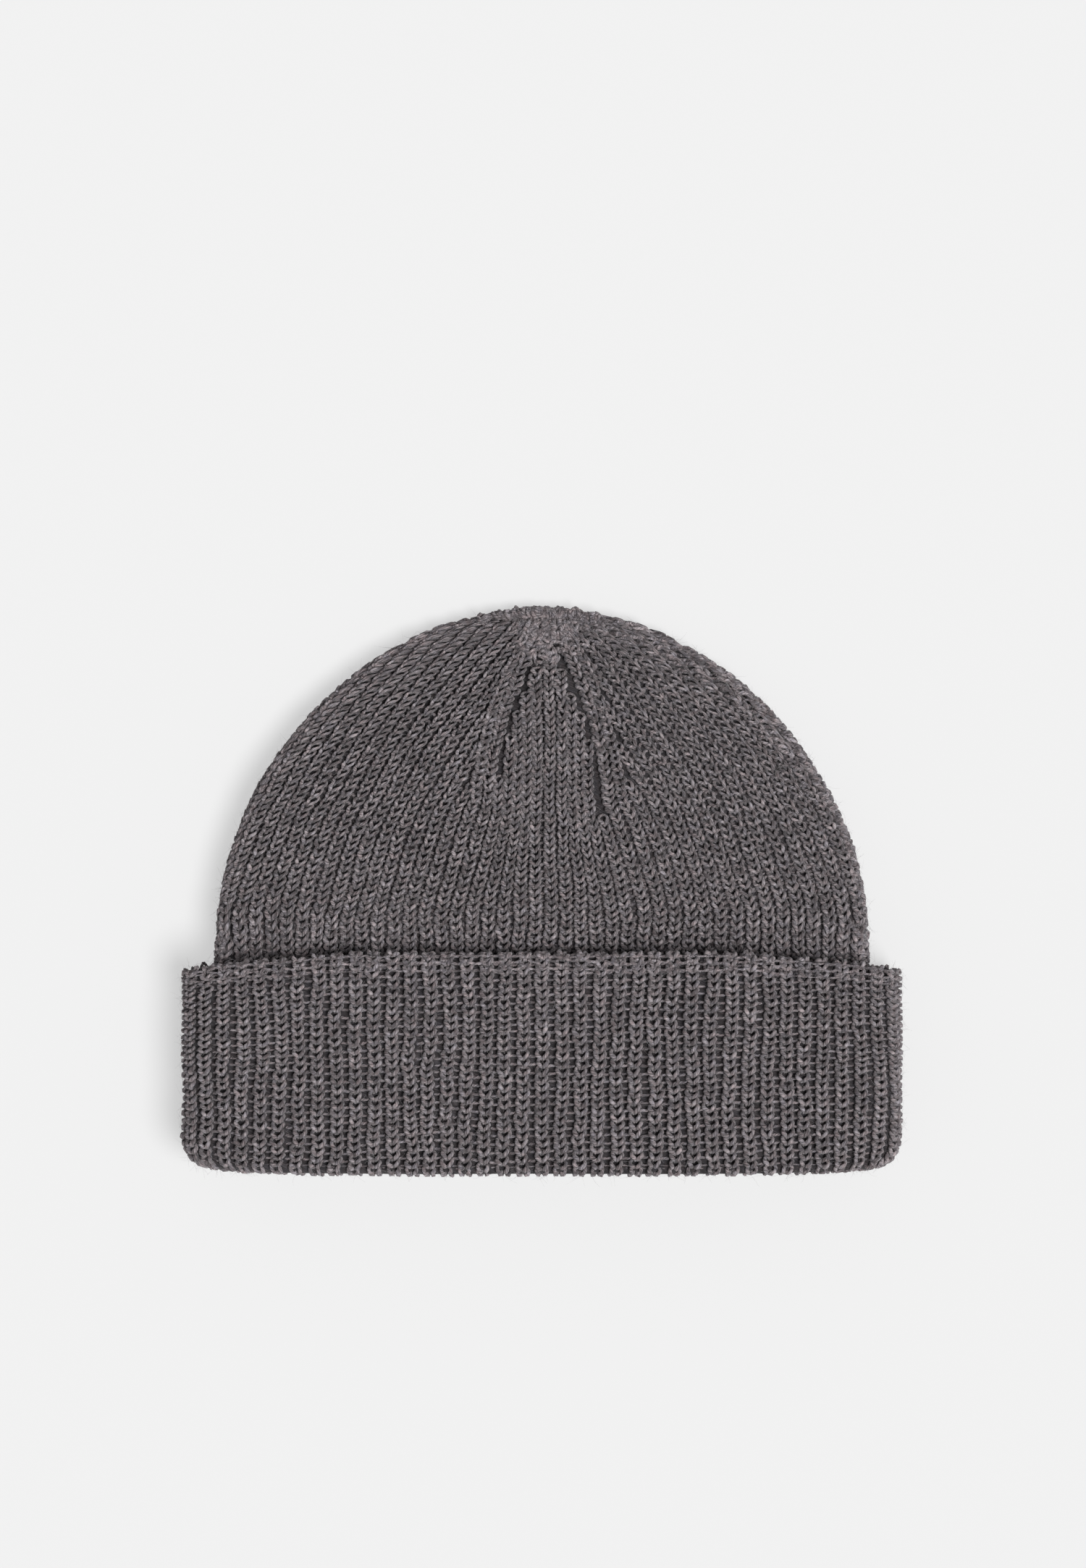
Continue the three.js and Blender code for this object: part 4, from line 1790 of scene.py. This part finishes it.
@dataclass
class CuffAssembly(RibShell):
    """The turned-up rim: outer rib, rounded fold, free edge, core and loose fibres.

    Attributes:
        stray_fibres: How many loose fibres it has.
    """

    stray_fibres: int = 6500

    def profile(self, depth: float, fold_depth: float) -> Profile:
        """The way from inside the mouth, round the fold, up the outside and over the edge.

        Args:
            depth: Inset of the outside.
            fold_depth: Inset of the fold.

        Returns:
            Points (up, inset).
        """
        form = self.form
        wall, gap = form.wall, form.gap
        rise, middle = wall + gap, (2 * wall + gap) / 2.0
        radius = middle - fold_depth
        points = [(rise + up, 2 * wall + gap - fold_depth) for up in np.linspace(2.2 * MM, 0.3 * MM, 4)]
        for angle in np.linspace(0.0, math.pi, 22):
            points.append((rise - 0.78 * radius * math.sin(angle), middle + radius * math.cos(angle)))
        lip = wall / 2.0 - depth
        top = form.cuff_height - depth - lip
        for up in np.linspace(rise + 1 * MM, top, 70):
            points.append((up, depth))
        for angle in np.linspace(0.0, math.pi, 12)[1:]:
            points.append((top + lip * math.sin(angle), depth + lip * (1.0 - math.cos(angle))))
        for up in np.linspace(top - 0.4 * MM, top - 5 * MM, 5):
            points.append((up, wall - depth))
        return points

    def build(self) -> None:
        """Makes every piece of the cuff."""
        depth = self.gauge.depth
        full = self.form.width / 2.0 - depth
        patch = self.maker.patch(Layer.CUFF, self.profile(depth, depth), full)
        count = self.gauge.cuff_ribs
        tracks = self.layout.straight(patch, 0.4 * MM, patch.length - 0.6 * MM, count, 0.5, 101)
        shape = LoopShape(pitch=6.15 * MM)
        laid = lay(patch, tracks, shape)
        frames = laid.frames
        ribs = self.rib_pieces("cuff_ribs", laid, Layer.CUFF, CUFF_YARN, shape, 111)
        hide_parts("cuff_band")
        grooves = lay(patch, self.layout.between(tracks), GROOVE_BAR)
        self.rib_pieces("cuff_grooves", grooves, Layer.CUFF, CUFF_YARN, GROOVE_BAR, 121)
        self.free_edge(patch)
        skin = self.gauge.core_depth
        back = self.gauge.core_back
        outer_profile = [(up, skin) for up in np.linspace(2.2 * MM, self.form.cuff_height - 2.4 * MM, 40)]
        inner_profile = [(up, back) for up, _ in outer_profile]
        # The core's dark finish paints the shade seen between the cuff's loops.
        self.core("cuff_core", Layer.CUFF, outer_profile, inner_profile, CUFF_CORE_SHADE, full, count, False)
        self.loose_fibres("cuff_loose_fibres", frames, Layer.CUFF, CUFF_LOOSE_WOOL, self.stray_fibres, 131)
        self.loose_fibres(
            "cuff_stray_hairs", frames, Layer.CUFF, CUFF_LOOSE_WOOL, 60, 132,
            (4 * MM, 8 * MM), 0.1, 0.032 * MM,
        )

    def free_edge(self, patch: KnitPatch) -> None:
        """The starting row along the free edge: two rows of soft lumps of yarn.

        Args:
            patch: The cuff's surface.
        """
        top = patch.travel[-1] - 5.7 * MM
        ribs = self.gauge.cuff_ribs
        each = WALES / ribs
        parts = MeshParts()
        rng = np.random.default_rng(142)
        shape = LoopShape(
            pitch=5.8 * MM,
            steps=12,
            half=((2.0, -0.5, -1.1), (1.75, -0.2, -0.5), (1.0, 0.2, 0.1), (0.0, 0.4, 0.25)),
        )
        for lift, shift in ((0.0, 0.5), (1.0 * MM, 1.0)):
            wale = each * (np.arange(ribs) + shift)
            rows = np.array([[-1.0], [0.0], [1.0]]) * 1.2 * MM + np.full((3, ribs), top + lift)
            middle = np.array([[False] * ribs, [True] * ribs, [False] * ribs])
            tracks = Tracks(rows, np.tile(wale, (3, 1)), np.full((3, ribs), each), middle)
            laid = lay(patch, tracks, shape)
            laid = laid.only(np.abs(laid.frames.origin[:, 0]) < self.form.width / 2.0 - 9 * MM)
            parts.add_repeated(loop_variants(shape, 141), laid, rng, 1.2)
        piece = parts.make("cuff_starting_row", self.wardrobe.dress(CUFF_YARN))
        place_piece(piece, Layer.CUFF, CUFF_YARN.slot)


@dataclass
class BodyAssembly(RibShell):
    """The crown and sides, the layer inside the cuff, its core and its loose fibres.

    Attributes:
        stray_fibres: How many loose fibres it has.
        mouth: Height of the inner layer's edge.
        inside: How far its stitches go on inside.
        inside_rows, lip_rows: Surface points there, and round the edge.
        covered_up: Where the stitches that show begin.
        top_margin: How far below the end of the surface they stop.
        edge_up, edge_margin: The same two for the crown's edges.
        edge_pitch: Distance between the edges' wales.
        edge_sunk: How many millimetres deeper they lie.
        gather_drop: Distance of the gathering point from the crown's top.
        gather_tries: Places tried for the gathered stitches.
    """

    stray_fibres: int = 8000
    mouth: float = 5.1 * MM
    inside: float = 2.5 * MM
    inside_rows: int = 24
    lip_rows: int = 10
    covered_up: float = 66 * MM
    top_margin: float = 2.5 * MM
    edge_up: float = 92 * MM
    edge_margin: float = 3 * MM
    edge_pitch: float = 3.9 * MM
    edge_sunk: float = 0.55
    gather_drop: float = 10 * MM
    gather_tries: int = 2600

    def profile(self, depth: float) -> Profile:
        """The way from inside the mouth, round its edge and up the outside to the crown.

        Args:
            depth: Distance under the outer face.

        Returns:
            Points (up, inset).
        """
        form = self.form
        lip = form.wall / 2.0 - depth
        start = self.mouth + depth
        ups = np.linspace(start + self.inside, start + 0.3 * MM, self.inside_rows)
        points = [(up, form.wall - depth) for up in ups]
        for angle in np.linspace(0.0, math.pi, self.lip_rows):
            points.append((start - lip * math.sin(angle), form.wall / 2.0 + lip * math.cos(angle)))
        points += self.outside(depth, start + 0.5 * MM)
        return points

    def outside(self, depth: float, start: float) -> Profile:
        """The outside, its points closer together where the outline turns.

        Args:
            depth: Distance under the outer face.
            start: Height of the first point.

        Returns:
            Points (up, inset).
        """
        form = self.form
        end = form.height - form.crown_wall * depth / form.wall
        points = [(up, depth) for up in np.arange(start, 0.13, 1.2 * MM)]
        angles = np.linspace(0.0, math.pi / 2.0, 70)[1:-1]
        first = points[-1][0]
        points += [(first + (end - first) * math.sin(a), depth) for a in angles]
        return points

    def build(self) -> None:
        """Makes every piece of the body."""
        patch = self.maker.patch(Layer.BODY, self.profile(self.gauge.depth))
        hidden_end = self.travel_at(patch, self.covered_up)
        tracks = self.layout.crown(patch, hidden_end, patch.length - self.top_margin, 201)
        shape = LoopShape(radius=0.63 * MM)
        laid = lay(patch, tracks, shape)
        frames = laid.frames
        ribs = self.rib_pieces("body_ribs", laid, Layer.BODY, BODY_YARN, shape, 211)
        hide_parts("knit_body")
        grooves = lay(patch, self.layout.between(tracks), GROOVE_BAR)
        self.rib_pieces("body_grooves", grooves, Layer.BODY, BODY_YARN, GROOVE_BAR, 216)
        plain = LoopShape(steps=10, sides=5)
        count = self.gauge.body_ribs
        covered = self.layout.straight(patch, 0.2 * MM, hidden_end - self.gauge.row, count, 0.5, 221)
        self.rib_pieces("covered_ribs", lay(patch, covered, plain), Layer.BODY, BODY_YARN, plain, 231)
        self.lining(plain)
        self.edge_wales(patch)
        self.crown_gather(patch)
        skin, back = self.gauge.core_depth, self.gauge.core_back
        outer = self.outside(skin, self.mouth + skin)[::2]
        inner = self.outside(back, self.mouth + skin)[::2]
        # The core's dark finish paints the shade seen between the body's loops.
        self.core("body_core", Layer.BODY, outer, inner, BODY_CORE_SHADE, 0.0, 0, True)
        self.loose_fibres("body_loose_fibres", frames, Layer.BODY, LOOSE_WOOL, self.stray_fibres, 241)
        self.loose_fibres(
            "body_stray_hairs", frames, Layer.BODY, LOOSE_WOOL, 90, 242,
            (4 * MM, 8 * MM), 0.1, 0.032 * MM,
        )

    def travel_at(self, patch: KnitPatch, up: float) -> float:
        """The way along the body's front centre to a height on its outside.

        Args:
            patch: The body's surface.
            up: The height.

        Returns:
            The distance.
        """
        first = self.inside_rows + self.lip_rows
        ups = patch.points[first:, int(FRONT_CENTRE * COLUMNS_PER_WALE), 1] - self.form.y_low
        return float(np.interp(up, ups, patch.travel[first:]))

    def edge_wales(self, patch: KnitPatch) -> None:
        """Lays deeper wales along the crown's two edges, seen where the leaning ones run out.

        Args:
            patch: The body's surface.
        """
        start = self.travel_at(patch, self.edge_up)
        end = patch.length - self.edge_margin
        rows = int((end - start) / self.gauge.row)
        travel = np.linspace(start, end, rows)[:, None] + np.zeros((1, 6))
        edges = np.repeat([0.0, HALF_WALES], 3)
        aside = np.tile([-1.0, 0.0, 1.0], 2) * self.edge_pitch
        each = (HALF_WALES / 2.0) / patch.half_round(travel, edges[None, :] + 0.01 * np.sign(aside))
        wale = edges + aside * each
        tracks = Tracks(travel, wale, 4.9 * MM * each, np.ones_like(wale, bool))
        low = tuple((across, along, out - self.edge_sunk) for across, along, out in LoopShape().half)
        shape = LoopShape(half=low, steps=12)
        self.rib_pieces("crown_edge", lay(patch, tracks, shape), Layer.BODY, BODY_YARN, shape, 281)

    def lining(self, shape: LoopShape) -> None:
        """The inner face near the mouth, where the ribs stand in the outer face's grooves.

        Args:
            shape: A plainer stitch.
        """
        depth = self.gauge.depth
        start = self.mouth + depth
        inset = self.form.wall - 1.1 * MM
        profile = [(up, inset) for up in np.linspace(0.1, start + 1.0 * MM, 90)]
        patch = self.maker.patch(Layer.BODY, profile)
        count = self.gauge.body_ribs
        tracks = self.layout.straight(patch, 0.5 * MM, patch.length - 0.5 * MM, count, 0.0, 251)
        flat = tuple((across, along, max(out, -0.3) * 0.6) for across, along, out in shape.half)
        shape = LoopShape(steps=shape.steps, sides=shape.sides, half=flat, radius=0.5 * MM)
        self.rib_pieces("lining_ribs", lay(patch, tracks, shape), Layer.BODY, BODY_YARN, shape, 261)

    def crown_gather(self, patch: KnitPatch) -> None:
        """The drawn-in last stitches: crowded loops that turn about the gathering point.

        Args:
            patch: The body's surface.
        """
        rng = np.random.default_rng(271)
        count = self.gather_tries
        travel = patch.length - 22 * MM * rng.random(count)
        wale = np.where(rng.random(count) < 0.7, 0.0, HALF_WALES) + HALF_WALES * rng.random(count)
        origin = patch.at(travel, wale)
        top = self.form.y_low + self.form.height
        middle = np.array([self.form.dart_shift, top - self.gather_drop])
        near = np.hypot(*(origin[:, :2] - middle).T) < rng.uniform(4 * MM, 12 * MM, count)
        near &= rng.random(count) < 0.35
        brink = travel > patch.length - 5 * MM
        brink &= np.abs(origin[:, 0] - self.form.dart_shift) < rng.uniform(4 * MM, 24 * MM, count)
        brink &= rng.random(count) < 0.55
        near |= brink
        travel, wale, origin = travel[near], wale[near], origin[near]
        count = len(origin)
        out = unit(patch.sampled(patch.facing, travel, wale))
        inward = np.concatenate([middle - origin[:, :2], np.zeros((count, 1))], -1)
        inward = unit(inward) + rng.normal(0.0, 0.45, (count, 3))
        along = unit(inward - out * np.sum(inward * out, -1, keepdims=True))
        across = np.cross(along, out)
        scale = rng.uniform(0.74, 1.0, (count, 2))
        parts = MeshParts()
        shape = LoopShape()
        frames = Frames(origin - out * 0.1 * MM, across, along, out, scale)
        parts.add_repeated(loop_variants(shape, 272), frames, rng, 1.5)
        piece = parts.make("crown_gather", self.wardrobe.dress(BODY_YARN))
        place_piece(piece, Layer.BODY, BODY_YARN.slot)


@dataclass
class SeamAssembly:
    """Linked seams inside the hat, the crown's draw ring and its knot.

    Attributes:
        form, wardrobe: The hat's outline, the finishes.
        radius: Half the width of a seam.
        clearance: Room between a seam and the cloth.
        dart_end: Height at which the dart seams end.
    """

    form: HatForm
    wardrobe: Wardrobe
    radius: float = 1.2 * MM
    clearance: float = 0.6 * MM
    dart_end: float = 156 * MM

    def linked(self, name: str, path: Array, out: Array, body: Layer, reach: float) -> bpy.types.Object:
        """A chain of small stitches along a path.

        Args:
            name: The piece's name, which is its node's too.
            path: The seam's middle line.
            out: Unit vectors off the cloth along it.
            body: The body it rides on.
            reach: Half the seam's width.

        Returns:
            The seam.
        """
        spacing = 1.9 * MM
        steps = np.linalg.norm(np.diff(path, axis=0), axis=1)
        gone = np.concatenate([[0.0], np.cumsum(steps)])
        at = np.arange(0.8 * MM, gone[-1] - 1.5 * MM, spacing)
        origin = np.stack([np.interp(at, gone, path[:, k]) for k in range(3)], -1)
        along = unit(np.gradient(origin, axis=0))
        lifted = np.stack([np.interp(at, gone, out[:, k]) for k in range(3)], -1)
        lifted = unit(lifted - along * np.sum(lifted * along, -1, keepdims=True))
        across = np.cross(along, lifted)
        shape = LoopShape(radius=0.42 * MM, steps=12)
        widest = max(point[0] for point in shape.half) * MM + shape.radius
        scale = np.stack([np.full(len(at), reach / widest), np.full(len(at), spacing / shape.row)], -1)
        parts = MeshParts()
        rng = np.random.default_rng(len(name))
        frames = Frames(origin - lifted * 0.1 * MM, across, along, lifted, scale)
        parts.add_repeated(loop_variants(shape, 301, 4, 0.04 * MM), frames, rng, 0.5)
        core = resample(path, 60)
        parts.add(tube(core - resample(out, 60) * 0.35 * MM, np.full(60, 0.55 * MM), 6))
        piece = parts.make(name + "_chain", self.wardrobe.dress(SEAM_YARN))
        return place_piece(piece, body, SEAM_YARN.slot, name)

    def ridge(
        self, place: Callable[[Array], Array], start: float, end: float, side: Side
    ) -> tuple[Array, Array]:
        """A seam on the inner face.

        Args:
            place: Gives its place across for heights.
            start: Its lowest height.
            end: Its highest.
            side: Front or back.

        Returns:
            Its middle line and the vectors off the cloth along it.
        """
        form = self.form
        up = np.linspace(start, end, 60)
        x = place(up)
        station = form.body_station(up, np.full_like(up, form.wall))
        sign = -1.0 if side is Side.FRONT else 1.0
        z = form.height_at(station, x, side) + sign * (self.radius + self.clearance)
        path = np.stack([x, form.y_low + up, z], -1)
        return path, np.tile(np.array([0.0, 0.0, sign]), (len(up), 1))

    def build(self) -> None:
        """Makes the seams, the ring and the knot."""
        form = self.form
        path, out = self.ridge(lambda up: 0.0 * up, 9 * MM, 158 * MM, Side.BACK)
        self.linked("back_seam", path, out, Layer.BODY, self.radius)
        for side in Side:
            shift = form.dart_shift if side is Side.FRONT else 0.0
            for hand, sign in (("left", -1.0), ("right", 1.0)):
                path, out = self.ridge(
                    lambda up, k=sign, s=shift: s + k * form.dart_half_width(up),
                    form.dart_base_up, self.dart_end, side,
                )
                self.linked(f"dart_seam_{side.value}_{hand}", path, out, Layer.BODY, self.radius)
        low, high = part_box("cuff_seam")
        up = np.linspace(low[1], high[1], 50)
        middle = (low[2] + high[2]) / 2.0
        path = np.stack([0 * up, up, 0 * up + middle], -1)
        self.linked("cuff_seam", path, np.tile([0.0, 0.0, 1.0], (50, 1)), Layer.CUFF, 2.4 * MM)
        self.draw_ring()
        self.knot()

    def draw_ring(self) -> None:
        """Two plies that wind round the crown's gathering ring."""
        low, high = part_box("crown_draw_ring")
        centre = node_middle("crown_draw_ring")
        ply = (high[2] - low[2]) / 4.0
        radius = (high[0] - low[0]) / 2.0 - 2.0 * ply
        angle = np.linspace(0.0, 2.0 * math.pi, 96, endpoint=False)
        parts = MeshParts()
        for phase in (0.0, math.pi):
            wind = 9 * angle + phase
            reach = radius + ply * np.cos(wind)
            ring = np.stack([reach * np.cos(angle), reach * np.sin(angle), ply * np.sin(wind)], -1)
            parts.add(tube(centre + ring, np.full(96, ply), 7, True))
        piece = parts.make("crown_draw_yarn", self.wardrobe.dress(SEAM_YARN))
        place_piece(piece, Layer.BODY, SEAM_YARN.slot, "crown_draw_ring")

    def knot(self) -> None:
        """A small tight knot that ties the draw yarn off."""
        centre = node_middle("crown_knot")
        angle = np.linspace(0.0, 4.0 * math.pi, 90, endpoint=False)
        reach = 1.1 * MM * (2.0 + np.cos(1.5 * angle))
        wave = 1.1 * MM * np.sin(1.5 * angle)
        path = np.stack([reach * np.cos(angle), reach * np.sin(angle), wave], -1)
        parts = MeshParts()
        parts.add(tube(centre + path, np.full(90, 0.6 * MM), 8, True))
        piece = parts.make("crown_tie_off", self.wardrobe.dress(SEAM_YARN))
        place_piece(piece, Layer.BODY, SEAM_YARN.slot, "crown_knot")


@dataclass
class LabelAssembly:
    """The blank folded care label and the thread that tacks it.

    Attributes:
        wardrobe: The finishes.
        leaf: Thickness of its tape.
    """

    wardrobe: Wardrobe
    leaf: float = 0.22 * MM

    def build(self) -> None:
        """Makes the label and its stitches."""
        low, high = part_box("care_label")
        width, length = high[1] - low[1], high[0] - low[0]
        thick = high[2] - low[2]
        bend = thick / 2.0 - self.leaf / 2.0
        middle = (low[2] + high[2]) / 2.0
        run = np.linspace(0.0, length - thick / 2.0, 24)
        turn = np.linspace(-math.pi / 2.0, math.pi / 2.0, 9)[1:-1]
        end = low[0] + run[-1]
        sag = 0.15 * MM * np.sin(run / length * math.pi)
        lower = np.stack([low[0] + run, middle - bend + 0 * run], -1)
        round_end = np.stack([end + bend * np.cos(turn), middle + bend * np.sin(turn)], -1)
        upper = np.stack([low[0] + run, middle + bend - sag], -1)[::-1]
        line = np.concatenate([lower, round_end, upper])
        across = np.linspace(low[1], high[1], 15)
        forward = unit(np.gradient(line, axis=0))
        normal = np.stack([forward[:, 1], -forward[:, 0]], -1)
        grids = []
        for sign in (1.0, -1.0):
            edge = line + normal * sign * self.leaf / 2.0
            grid = np.zeros((len(line), len(across), 3))
            grid[..., 0], grid[..., 2] = edge[:, :1], edge[:, 1:]
            grid[..., 1] = across[None, :]
            grids.append(grid)
        piece = self.strip(grids)
        place_piece(piece, "label", LABEL_SATIN.slot, "care_label")
        self.stitches()

    def strip(self, grids: list[Array]) -> bpy.types.Object:
        """A thin closed tape.

        Args:
            grids: The points of its two faces.

        Returns:
            The tape.
        """
        rows, columns = grids[0].shape[:2]
        count = rows * columns
        index = np.arange(count).reshape(rows, columns)
        quads = []
        for offset, flip in ((0, False), (count, True)):
            face = np.stack([index[:-1, :-1], index[1:, :-1], index[1:, 1:], index[:-1, 1:]], -1)
            face = face.reshape(-1, 4)
            quads.append((face[:, ::-1] if flip else face) + offset)
        rim = np.concatenate([index[0, :], index[1:, -1], index[-1, -2::-1], index[-2:0:-1, 0]])
        following = np.roll(rim, -1)
        quads.append(np.stack([rim, following, following + count, rim + count], -1))
        all_quads = np.concatenate(quads)
        points = np.concatenate([grid.reshape(-1, 3) for grid in grids])
        parts = MeshParts()
        parts.add(Piece(points, all_quads, points[all_quads][..., :2] / MM))
        return parts.make("care_label_tape", self.wardrobe.dress(LABEL_SATIN))

    def stitches(self) -> None:
        """A zigzag of thread beside the label's ends."""
        low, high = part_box("label_stitches")
        count = 25
        y = np.linspace(low[1] + 0.4 * MM, high[1] - 0.4 * MM, count)
        x = (low[0] + high[0]) / 2.0 + 0.12 * MM * np.where(np.arange(count) % 2, 1.0, -1.0)
        z = (low[2] + high[2]) / 2.0 + 0.06 * MM * np.sin(np.arange(count) * math.pi / 2.0)
        path = resample(np.stack([x, y, z], -1), 90)
        parts = MeshParts()
        parts.add(tube(path, np.full(90, 0.22 * MM), 6))
        piece = parts.make("label_tacking", self.wardrobe.dress(LABEL_THREAD))
        place_piece(piece, Layer.BODY, LABEL_THREAD.slot, "label_stitches")


@dataclass
class Studio:
    """A pale floor, soft light from the right, and a camera straight above the hat.

    Attributes:
        form: The hat's outline.
        camera_height: Camera above the surface.
        hat_middle: Height at which the view's length is measured.
        frame_length: Length of the view's long side at the hat.
        aim_x, aim_up: The point of the hat under the camera.
        sun_strength: Power of the key light.
        world_strength: Power of the light from all round.
        floor_glow: Light that the floor gives off.
    """

    form: HatForm
    camera_height: float = 1.5
    hat_middle: float = 18 * MM
    frame_length: float = 489.3 * MM
    aim_x: float = 0.3 * MM
    aim_up: float = 122.7 * MM
    sun_strength: float = 3.1
    world_strength: float = 0.30
    floor_glow: float = 0.545

    def build(self) -> None:
        """Makes the floor, the lights, the world and the camera."""
        scene = bpy.context.scene
        scene.view_settings.view_transform = "Standard"
        self.camera(scene)
        self.floor()
        self.sun("key", (-0.36, 0.20, -1.0), self.sun_strength, 26.0)
        world = bpy.data.worlds.new("studio")
        world.use_nodes = True
        background = world.node_tree.nodes["Background"]
        NodeBench.fill(background, Color=(1.0, 1.0, 1.0, 1.0), Strength=self.world_strength)
        scene.world = world

    def camera(self, scene: bpy.types.Scene) -> None:
        """The camera above the hat, looking straight down.

        Args:
            scene: The scene that it is for.
        """
        data = bpy.data.cameras.new("overhead")
        data.lens = data.sensor_width * (self.camera_height - self.hat_middle) / self.frame_length
        camera = bpy.data.objects.new("overhead", data)
        camera.location = (self.aim_x, self.form.y_low + self.aim_up, self.camera_height)
        bpy.context.collection.objects.link(camera)
        scene.camera = camera

    def sun(self, name: str, direction: tuple[float, float, float], strength: float, softness: float) -> None:
        """A broad light from far away.

        Args:
            name: Its name.
            direction: Where it shines.
            strength: Its power.
            softness: Its width in degrees.
        """
        data = bpy.data.lights.new(name, "SUN")
        data.energy = strength
        data.angle = math.radians(softness)
        light = bpy.data.objects.new(name, data)
        light.rotation_euler = Vector(direction).to_track_quat("-Z", "Y").to_euler()
        bpy.context.collection.objects.link(light)

    def floor(self) -> None:
        """A wide matt sheet just under the hat."""
        mesh = bpy.data.meshes.new("floor")
        reach = 6.0
        corners = [(-reach, -reach, 0), (reach, -reach, 0), (reach, reach, 0), (-reach, reach, 0)]
        mesh.from_pydata(corners, [], [(0, 1, 2, 3)])
        material = bpy.data.materials.new("floor_paper")
        material.use_nodes = True
        surface = material.node_tree.nodes["Principled BSDF"]
        NodeBench.fill(surface, Base_Color=(0.28, 0.28, 0.28, 1.0), Roughness=1.0, Specular_IOR_Level=0.0)
        NodeBench.fill(surface, Emission_Color=(1.0, 1.0, 1.0, 1.0), Emission_Strength=self.floor_glow)
        mesh.materials.append(material)
        floor = bpy.data.objects.new("floor", mesh)
        floor.location.z = -0.3 * MM
        bpy.context.collection.objects.link(floor)


def main() -> None:
    """Builds the studio, then the hat: rim, body, seams and label."""
    logging.basicConfig(level=logging.INFO, format="%(message)s")
    form = HatForm.from_frame()
    gauge = KnitGauge()
    wardrobe = Wardrobe()
    shared = (form, gauge, wardrobe, SurfaceMaker(form), WaleLayout(form, gauge))
    Studio(form).build()
    CuffAssembly(*shared).build()
    BodyAssembly(*shared).build()
    SeamAssembly(form, wardrobe).build()
    LabelAssembly(wardrobe).build()


if __name__ == "__main__":
    main()
